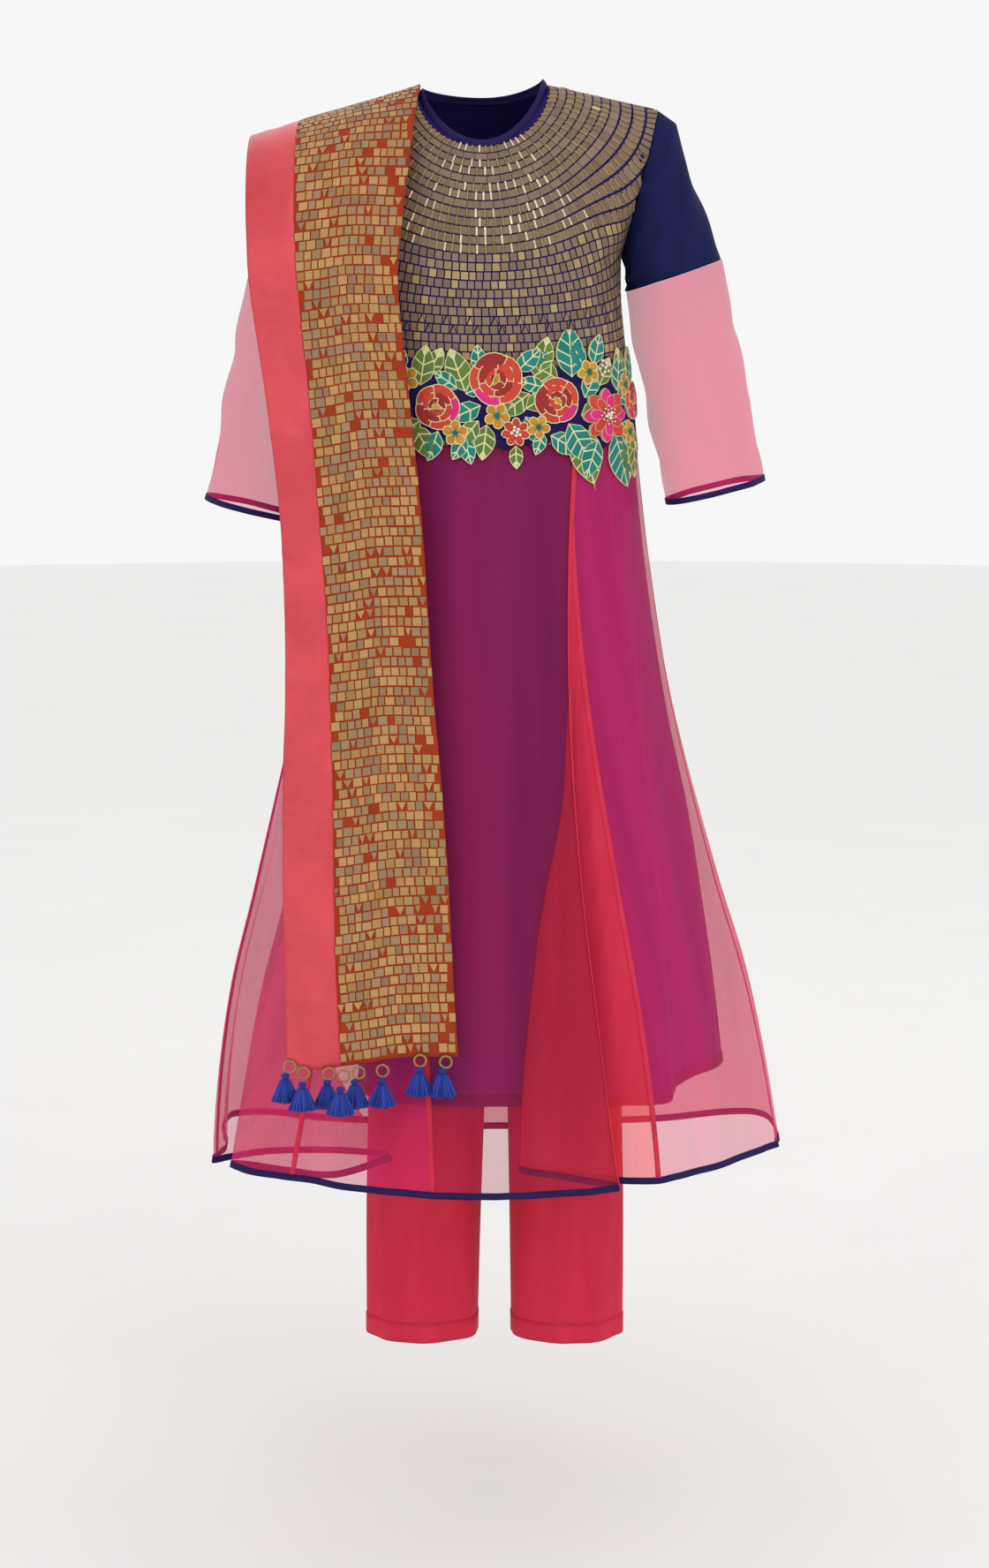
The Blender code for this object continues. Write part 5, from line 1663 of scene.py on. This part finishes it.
@dataclass
class FlowerBand:
    """The flower band over the yoke seam: roses, small flowers and leaves on navy."""

    blooms: tuple = (
        # kind, degrees round the body, height, radius
        (Bloom.ROSE, -20, -0.320, 0.0235), (Bloom.ROSE, 3, -0.291, 0.0275),
        (Bloom.ROSE, 27, -0.314, 0.0240),
        (Bloom.MARIGOLD, -33, -0.291, 0.0145), (Bloom.MARIGOLD, 42, -0.285, 0.0135),
        (Bloom.MARIGOLD, 3, -0.329, 0.0140), (Bloom.MARIGOLD, -13, -0.347, 0.0140),
        (Bloom.MARIGOLD, 19, -0.341, 0.0130), (Bloom.BEADED, 10, -0.346, 0.0155),
        (Bloom.RIBBON, 51, -0.331, 0.0300), (Bloom.ROSE, 76, -0.318, 0.0200),
        (Bloom.MARIGOLD, 66, -0.300, 0.0120), (Bloom.MARIGOLD, 68, -0.350, 0.0130),
        (Bloom.ROSE, -46, -0.318, 0.0240), (Bloom.MARIGOLD, -56, -0.348, 0.0140),
        (Bloom.ROSE, -70, -0.312, 0.0240), (Bloom.MARIGOLD, -58, -0.286, 0.0135),
    )
    leaves: tuple = (
        # degrees round the body, height of the stem end, direction of the tip, length, teal
        (-34, -0.282, 112, 0.029, True), (-27, -0.298, 80, 0.043, False), (-17, -0.304, 55, 0.034, True),
        (-9, -0.304, 108, 0.047, False), (-12, -0.300, 145, 0.029, True), (-9, -0.306, 20, 0.025, True),
        (11, -0.283, 42, 0.034, True), (14, -0.275, 22, 0.029, True), (28, -0.292, 150, 0.038, False),
        (22, -0.300, 165, 0.029, True), (34, -0.290, 92, 0.054, True), (40, -0.280, 118, 0.031, True),
        (45, -0.278, 72, 0.034, True), (16, -0.306, 215, 0.040, False), (8, -0.306, 232, 0.034, False),
        (-3, -0.318, 205, 0.036, True), (-4, -0.334, 230, 0.034, False), (-1, -0.338, 262, 0.038, False),
        (-30, -0.340, 300, 0.040, False), (-27, -0.334, 215, 0.038, False), (-10, -0.350, 285, 0.031, True),
        (-9, -0.350, 240, 0.029, True), (10, -0.360, 272, 0.025, False), (21, -0.347, 250, 0.025, True),
        (24, -0.350, 330, 0.038, True), (32, -0.338, 300, 0.049, True), (37, -0.342, 286, 0.063, False),
        (57, -0.350, 292, 0.063, True), (66, -0.352, 282, 0.049, False), (74, -0.346, 275, 0.054, False),
        (60, -0.306, 78, 0.038, True), (66, -0.300, 100, 0.040, False), (74, -0.300, 80, 0.040, True),
        (-40, -0.300, 100, 0.038, False), (-52, -0.300, 75, 0.038, True), (-64, -0.296, 100, 0.038, False),
        (-42, -0.346, 262, 0.040, True), (-52, -0.338, 285, 0.040, False), (-64, -0.340, 260, 0.043, True),
        (-76, -0.336, 280, 0.040, False), (-78, -0.300, 85, 0.038, True),
        (-24, -0.288, 60, 0.034, False), (-3, -0.284, 95, 0.029, True), (20, -0.284, 75, 0.038, False),
        (48, -0.300, 60, 0.034, False), (14, -0.322, 30, 0.034, False), (40, -0.312, 60, 0.038, True),
        (38, -0.330, 20, 0.034, False), (-20, -0.345, 250, 0.034, True), (14, -0.330, 300, 0.034, True),
        (46, -0.356, 250, 0.043, True), (62, -0.340, 320, 0.045, False), (60, -0.318, 30, 0.040, True),
    )
    top_z: float = -0.276
    low_z: float = -0.360
    carrier_top_z: float = -0.240
    carrier_low_z: float = -0.412
    reach: float = 84.0
    lift: float = 0.0030
    outline: float = 0.0009
    ground_wall: float = 0.0006
    colours: tuple[Finish, ...] = (
        Finish.CREAM, Finish.RED, Finish.DARK_RED, Finish.PINK, Finish.YELLOW, Finish.TEAL, Finish.OLIVE,
        Finish.LIME, Finish.PEARL, Finish.BUGLE,
    )

    def __post_init__(self) -> None:
        """Measure the cloth that the motifs follow, which is longer than the ground."""
        self.chance = random.Random(31)
        low, high = self.carrier_low_z, self.carrier_top_z
        self.carrier = Cloth(
            lambda u, v: TORSO.oval((2 * u - 1) * 90, high + (low - high) * v, self.lift), 96, 30,
            Vector((0, 0, -0.3)),
        )
        self.bm = bmesh.new()
        self.tint = self.bm.faces.layers.float.new("tint")

    def flat(self, degrees: float, z: float) -> Vector:
        """The flat place on the carrier for an angle round the body and a height."""
        u = (degrees / 90 + 1) / 2 * self.carrier.columns
        column = min(int(u), self.carrier.columns - 1)
        row = self.carrier.flats[self.carrier.rows // 2]
        x = row[column].x + (row[column + 1].x - row[column].x) * (u - column)
        return Vector((x, self.carrier_top_z - z, 0))

    def petal(self, outline: Sequence[Vector], colour: Finish, height: float, crown: float = 0.0008,
              rim: float = 0.0) -> None:
        """Stitch one filled shape with a cream outline.

        Args:
            outline: Its flat outline, in order.
            colour: The thread inside the outline.
            height: How far it stands above the ground.
            crown: How much its middle is raised.
            rim: Width of the outline, or 0 for the usual one.
        """
        face = self.bm.faces.new([self.bm.verts.new((p.x, p.y, height)) for p in outline])
        face.normal_update()
        if face.normal.z < 0:
            face.normal_flip()
        shade = self.chance.uniform(0.15, 0.75)
        face.material_index = self.colours.index(colour)
        face[self.tint] = shade
        made = bmesh.ops.inset_region(
            self.bm, faces=[face], thickness=rim or self.outline, use_even_offset=True, use_boundary=True
        )
        for edge_face in made["faces"]:
            edge_face.material_index = 0
            edge_face[self.tint] = 0.7
        poked = bmesh.ops.poke(self.bm, faces=[face])
        for vert in poked["verts"]:
            vert.co.z += crown
        for filled in poked["faces"]:
            filled.material_index = self.colours.index(colour)
            filled[self.tint] = shade
        island = set(made["faces"])
        border = [e for f in island for e in f.edges if e.is_boundary]
        wall = bmesh.ops.extrude_edge_only(self.bm, edges=list(set(border)))["geom"]
        for part in wall:
            if isinstance(part, bmesh.types.BMVert):
                part.co.z = -0.0004
            elif isinstance(part, bmesh.types.BMFace):
                part.material_index = 0
                # painted shade: the outline's side walls take a darker tone than its top (0.7)
                part[self.tint] = 0.4

    @staticmethod
    def turned(centre: Vector, angle: float, along: float, aside: float) -> Vector:
        """A flat place from a centre, a direction in degrees and two distances."""
        a = math.radians(angle)
        return centre + Vector((
            along * math.cos(a) - aside * math.sin(a), -(along * math.sin(a) + aside * math.cos(a)), 0,
        ))

    def sector(self, centre: Vector, start: float, end: float, inner: float, outer: float, colour: Finish,
               height: float) -> None:
        """Stitch a rose petal that wraps part of the way round the flower."""
        steps = 6
        outline = []
        for i in range(steps + 1):
            share = i / steps
            swell = 1 + 0.09 * math.sin(math.pi * share)
            outline.append(self.turned(centre, start + (end - start) * share, outer * swell, 0))
        for i in range(steps + 1):
            share = 1 - i / steps
            swell = 1 + 0.12 * math.sin(math.pi * share)
            outline.append(self.turned(centre, start + (end - start) * share, inner * swell, 0))
        self.petal(outline, colour, height)

    def rose(self, centre: Vector, radius: float) -> None:
        """Stitch a rose: wrapped petals that get darker towards a gold heart."""
        turn = self.chance.uniform(0, 360)
        rings = (
            # count, inner, outer, colours, height
            (5, 0.60, 0.95, (Finish.RED, Finish.PINK, Finish.RED, Finish.RED, Finish.DARK_RED), 0.0024),
            (4, 0.34, 0.66, (Finish.RED, Finish.DARK_RED, Finish.RED, Finish.DARK_RED), 0.0029),
            (3, 0.14, 0.40, (Finish.DARK_RED, Finish.DARK_RED, Finish.RED), 0.0034),
        )
        for count, inner, outer, colours, height in rings:
            for i in range(count):
                start = turn + 360 / count * i
                end = start + 360 / count * self.chance.uniform(1.05, 1.35)
                lean = self.chance.uniform(-0.10, 0.05)
                self.sector(centre, start, end, radius * (inner + lean), radius * outer, colours[i],
                            height + 0.0003 * i)
            turn += 37
        heart = [
            self.turned(centre, turn + 60 * i, radius * (0.26 if i % 3 == 0 else 0.14), 0) for i in range(6)
        ]
        self.petal(heart, Finish.YELLOW, 0.0046, rim=0.0005)

    def round_petals(self, centre: Vector, radius: float, count: int, colours: Sequence[Finish],
                     height: float, fat: float) -> None:
        """Stitch a ring of rounded petals."""
        turn = self.chance.uniform(0, 360)
        for i in range(count):
            angle = turn + 360 / count * i
            outline = []
            for k in range(10):
                a = math.tau * k / 10
                along = radius * (0.56 - 0.44 * math.cos(a))
                outline.append(self.turned(centre, angle, along, radius * fat * math.sin(a)))
            self.petal(outline, colours[i % len(colours)], height + 0.0001 * (i % 3))

    def beads(self, centre: Vector, radius: float, count: int, size: float, finish: Finish,
              height: float) -> None:
        """Sew a cluster of round beads."""
        for i in range(count):
            angle = math.degrees(GOLDEN_ANGLE) * i
            spot = self.turned(centre, angle, radius * math.sqrt((i + 0.3) / count), 0)
            spot.z = height
            made = bmesh.ops.create_icosphere(
                self.bm, subdivisions=1, radius=size, matrix=Matrix.Translation(spot)
            )
            for face in {face for vert in made["verts"] for face in vert.link_faces}:
                face.material_index = self.colours.index(finish)
                face[self.tint] = self.chance.uniform(0.2, 0.9)
                face.smooth = True

    def bloom(self, kind: Bloom, centre: Vector, radius: float) -> None:
        """Stitch one flower."""
        if kind is Bloom.ROSE:
            self.rose(centre, radius)
        elif kind is Bloom.MARIGOLD:
            self.round_petals(centre, radius, 5, (Finish.YELLOW,), 0.0032, 0.40)
            self.beads(centre, radius * 0.26, 12, 0.0011, Finish.TEAL, 0.0048)
        elif kind is Bloom.BEADED:
            self.round_petals(centre, radius, 7, (Finish.RED,), 0.0036, 0.32)
            self.beads(centre, radius * 0.95, 26, 0.0008, Finish.DARK_RED, 0.0040)
            self.beads(centre, radius * 0.38, 7, 0.0019, Finish.PEARL, 0.0048)
        else:
            self.ribbon(centre, radius)

    def ribbon(self, centre: Vector, radius: float) -> None:
        """Sew a standing ribbon flower with pointed loops and a beaded heart."""
        for layer, (count, colours, height) in enumerate((
            (8, (Finish.PINK, Finish.RED), 0.0042), (7, (Finish.RED, Finish.PINK), 0.0056),
        )):
            for i in range(count):
                angle = 360 / count * i + 20 * layer
                long = radius * (1.0 - 0.26 * layer) * self.chance.uniform(0.9, 1.06)
                shape = ((0.12, 0.07), (0.45, 0.22), (0.75, 0.24), (0.90, 0.15), (1.0, 0.0))
                sides = [self.turned(centre, angle, long * a, long * w) for a, w in shape]
                sides += [self.turned(centre, angle, long * a, -long * w) for a, w in reversed(shape[:-1])]
                self.petal(sides, colours[i % 2], height, crown=0.0014, rim=0.0003)
        self.beads(centre, radius * 0.34, 20, 0.0014, Finish.BUGLE, 0.0082)
        self.beads(centre, radius * 0.14, 5, 0.0020, Finish.PEARL, 0.0092)

    def leaf(self, stem: Vector, angle: float, length: float, teal: bool) -> None:
        """Stitch a leaf of slanted segments with a pale tip."""
        width = length * 0.30
        colour = Finish.TEAL if teal else Finish.OLIVE
        segments = max(3, round(length / 0.0105))
        slant = 0.16
        height = 0.0006 + 0.0005 * self.chance.randrange(4)

        def half_width(share: float) -> float:
            """Half the leaf's width at a share of its length."""
            return width * math.sin(math.pi * min(1.0, share) ** 0.85) ** 0.8 if share < 1 else 0.0

        for hand in (1, -1):
            for k in range(segments):
                low, high = k / segments, (k + 1) / segments
                far_low = min(1.0, low + slant) if k else 0.0
                far_high = min(1.0, high + slant) if k < segments - 1 else 1.0
                outline = [self.turned(stem, angle, length * low, 0)]
                for share in (far_low, (far_low + far_high) / 2, far_high):
                    if 0 < share < 1:
                        outline.append(self.turned(stem, angle, length * share, hand * half_width(share)))
                outline.append(self.turned(stem, angle, length * high, 0))
                if len(outline) < 3:
                    continue
                pale = not teal and k == segments - 1
                self.petal(outline, Finish.LIME if pale else colour, height, 0.0004, rim=0.0007)

    def ground(self) -> Cloth:
        """The navy ground, its top and bottom edges gently waved."""
        def spot(u: float, v: float) -> Vector:
            """A point across and down."""
            degrees = (2 * u - 1) * self.reach
            top = self.top_z + 0.007 * math.sin(degrees * 0.33 + 1) + 0.004 * math.sin(degrees * 0.71)
            low = self.low_z - 0.004 * math.sin(degrees * 0.41) - 0.003 * math.sin(degrees * 0.9 + 2)
            return TORSO.oval(degrees, top + (low - top) * v, self.lift - 0.0002)

        return Cloth(spot, 120, 12, Vector((0, 0, -0.3)))

    def build(self) -> None:
        """Make the ground and everything sewn on it."""
        for degrees, z, angle, length, teal in self.leaves:
            self.leaf(self.flat(degrees, z), angle, length, teal)
        for kind, degrees, z, radius in self.blooms:
            self.bloom(kind, self.flat(degrees, z), radius)
        self.beads(self.flat(51, -0.281), 0.009, 9, 0.0019, Finish.PEARL, 0.0030)
        self.carrier.conform(self.bm)
        motifs = finish_piece(mesh_object("flower_motifs", self.bm, self.colours, smooth=False))
        ground = self.ground()
        piece = ground.make("flower_ground", Finish.YOKE_GROUND, self.ground_wall)
        finish_piece(piece, ["flower_band"])
        declare(ground)


# ---- studio --------------------------------------------------------------------------
@dataclass
class Studio:
    """A plain pale floor, soft lights and a camera that looks slightly down from the front."""

    floor_z: float = -1.54
    floor_radius: float = 9.0
    daylight: float = 0.93
    distance: float = 4.0
    eye_z: float = -0.11
    pitch: float = 8.89
    lens: float = 85.26
    sensor: float = 36.0

    def build(self) -> None:
        """Set up the floor, the light and the camera."""
        scene = bpy.context.scene
        scene.view_settings.view_transform = "Standard"
        world = bpy.data.worlds.new("soft white room")
        scene.world = world
        world.use_nodes = True
        air = world.node_tree.nodes["Background"]
        air.inputs["Color"].default_value = (1.0, 1.0, 1.0, 1.0)
        air.inputs["Strength"].default_value = self.daylight

        bm = bmesh.new()
        bmesh.ops.create_circle(
            bm, cap_ends=True, segments=96, radius=self.floor_radius,
            matrix=Matrix.Translation((0, 2, self.floor_z)),
        )
        mesh = bpy.data.meshes.new("studio_floor")
        bm.to_mesh(mesh)
        bm.free()
        floor = bpy.data.objects.new("studio_floor", mesh)
        scene.collection.objects.link(floor)
        material, tree, shader = new_material("matt white backdrop paper")
        place = add_node(tree, "ShaderNodeTexCoord").outputs["Object"]
        pulp = add_node(tree, "ShaderNodeTexNoise", {"Vector": place, "Scale": 3.0})
        tone = add_node(
            tree, "ShaderNodeMix", {0: pulp.outputs["Fac"], 6: srgb("f2f1f0"), 7: srgb("f6f5f4")},
            data_type="RGBA",
        )
        tree.links.new(tone.outputs[2], shader.inputs["Base Color"])
        shader.inputs["Roughness"].default_value = 0.9
        mesh.materials.append(material)

        lamps = (
            # name, place, size, power
            ("key_light", (1.6, -3.0, 1.3), 2.2, 16.0),
            ("fill_light", (-2.2, -2.6, 0.4), 2.6, 5.0),
            ("back_light", (0.4, 2.6, 1.6), 2.4, 6.0),
        )
        for name, spot, size, power in lamps:
            lamp = bpy.data.lights.new(name, "AREA")
            lamp.shape = "DISK"
            lamp.size = size
            lamp.energy = power
            light = bpy.data.objects.new(name, lamp)
            light.location = spot
            light.rotation_euler = (Vector((0, 0, -0.6)) - Vector(spot)).to_track_quat("-Z", "Y").to_euler()
            scene.collection.objects.link(light)

        lens = bpy.data.cameras.new("camera")
        lens.lens = self.lens
        lens.sensor_width = self.sensor
        lens.sensor_fit = "AUTO"
        camera = bpy.data.objects.new("camera", lens)
        camera.location = (0, -self.distance, self.eye_z)
        camera.rotation_euler = (math.radians(90 - self.pitch), 0, 0)
        scene.collection.objects.link(camera)
        scene.camera = camera


def main() -> None:
    """Build every sub-assembly in order."""
    logging.basicConfig(level=logging.INFO, format="%(message)s")
    Studio().build()
    for part in (Skirt(), Lining(), Trousers(), Yoke(), FlowerBand(), Sleeve(1), Sleeve(-1), Dupatta()):
        LOG.info("building %s", type(part).__name__)
        part.build()
    bpy.context.view_layer.update()


if __name__ == "__main__":
    main()
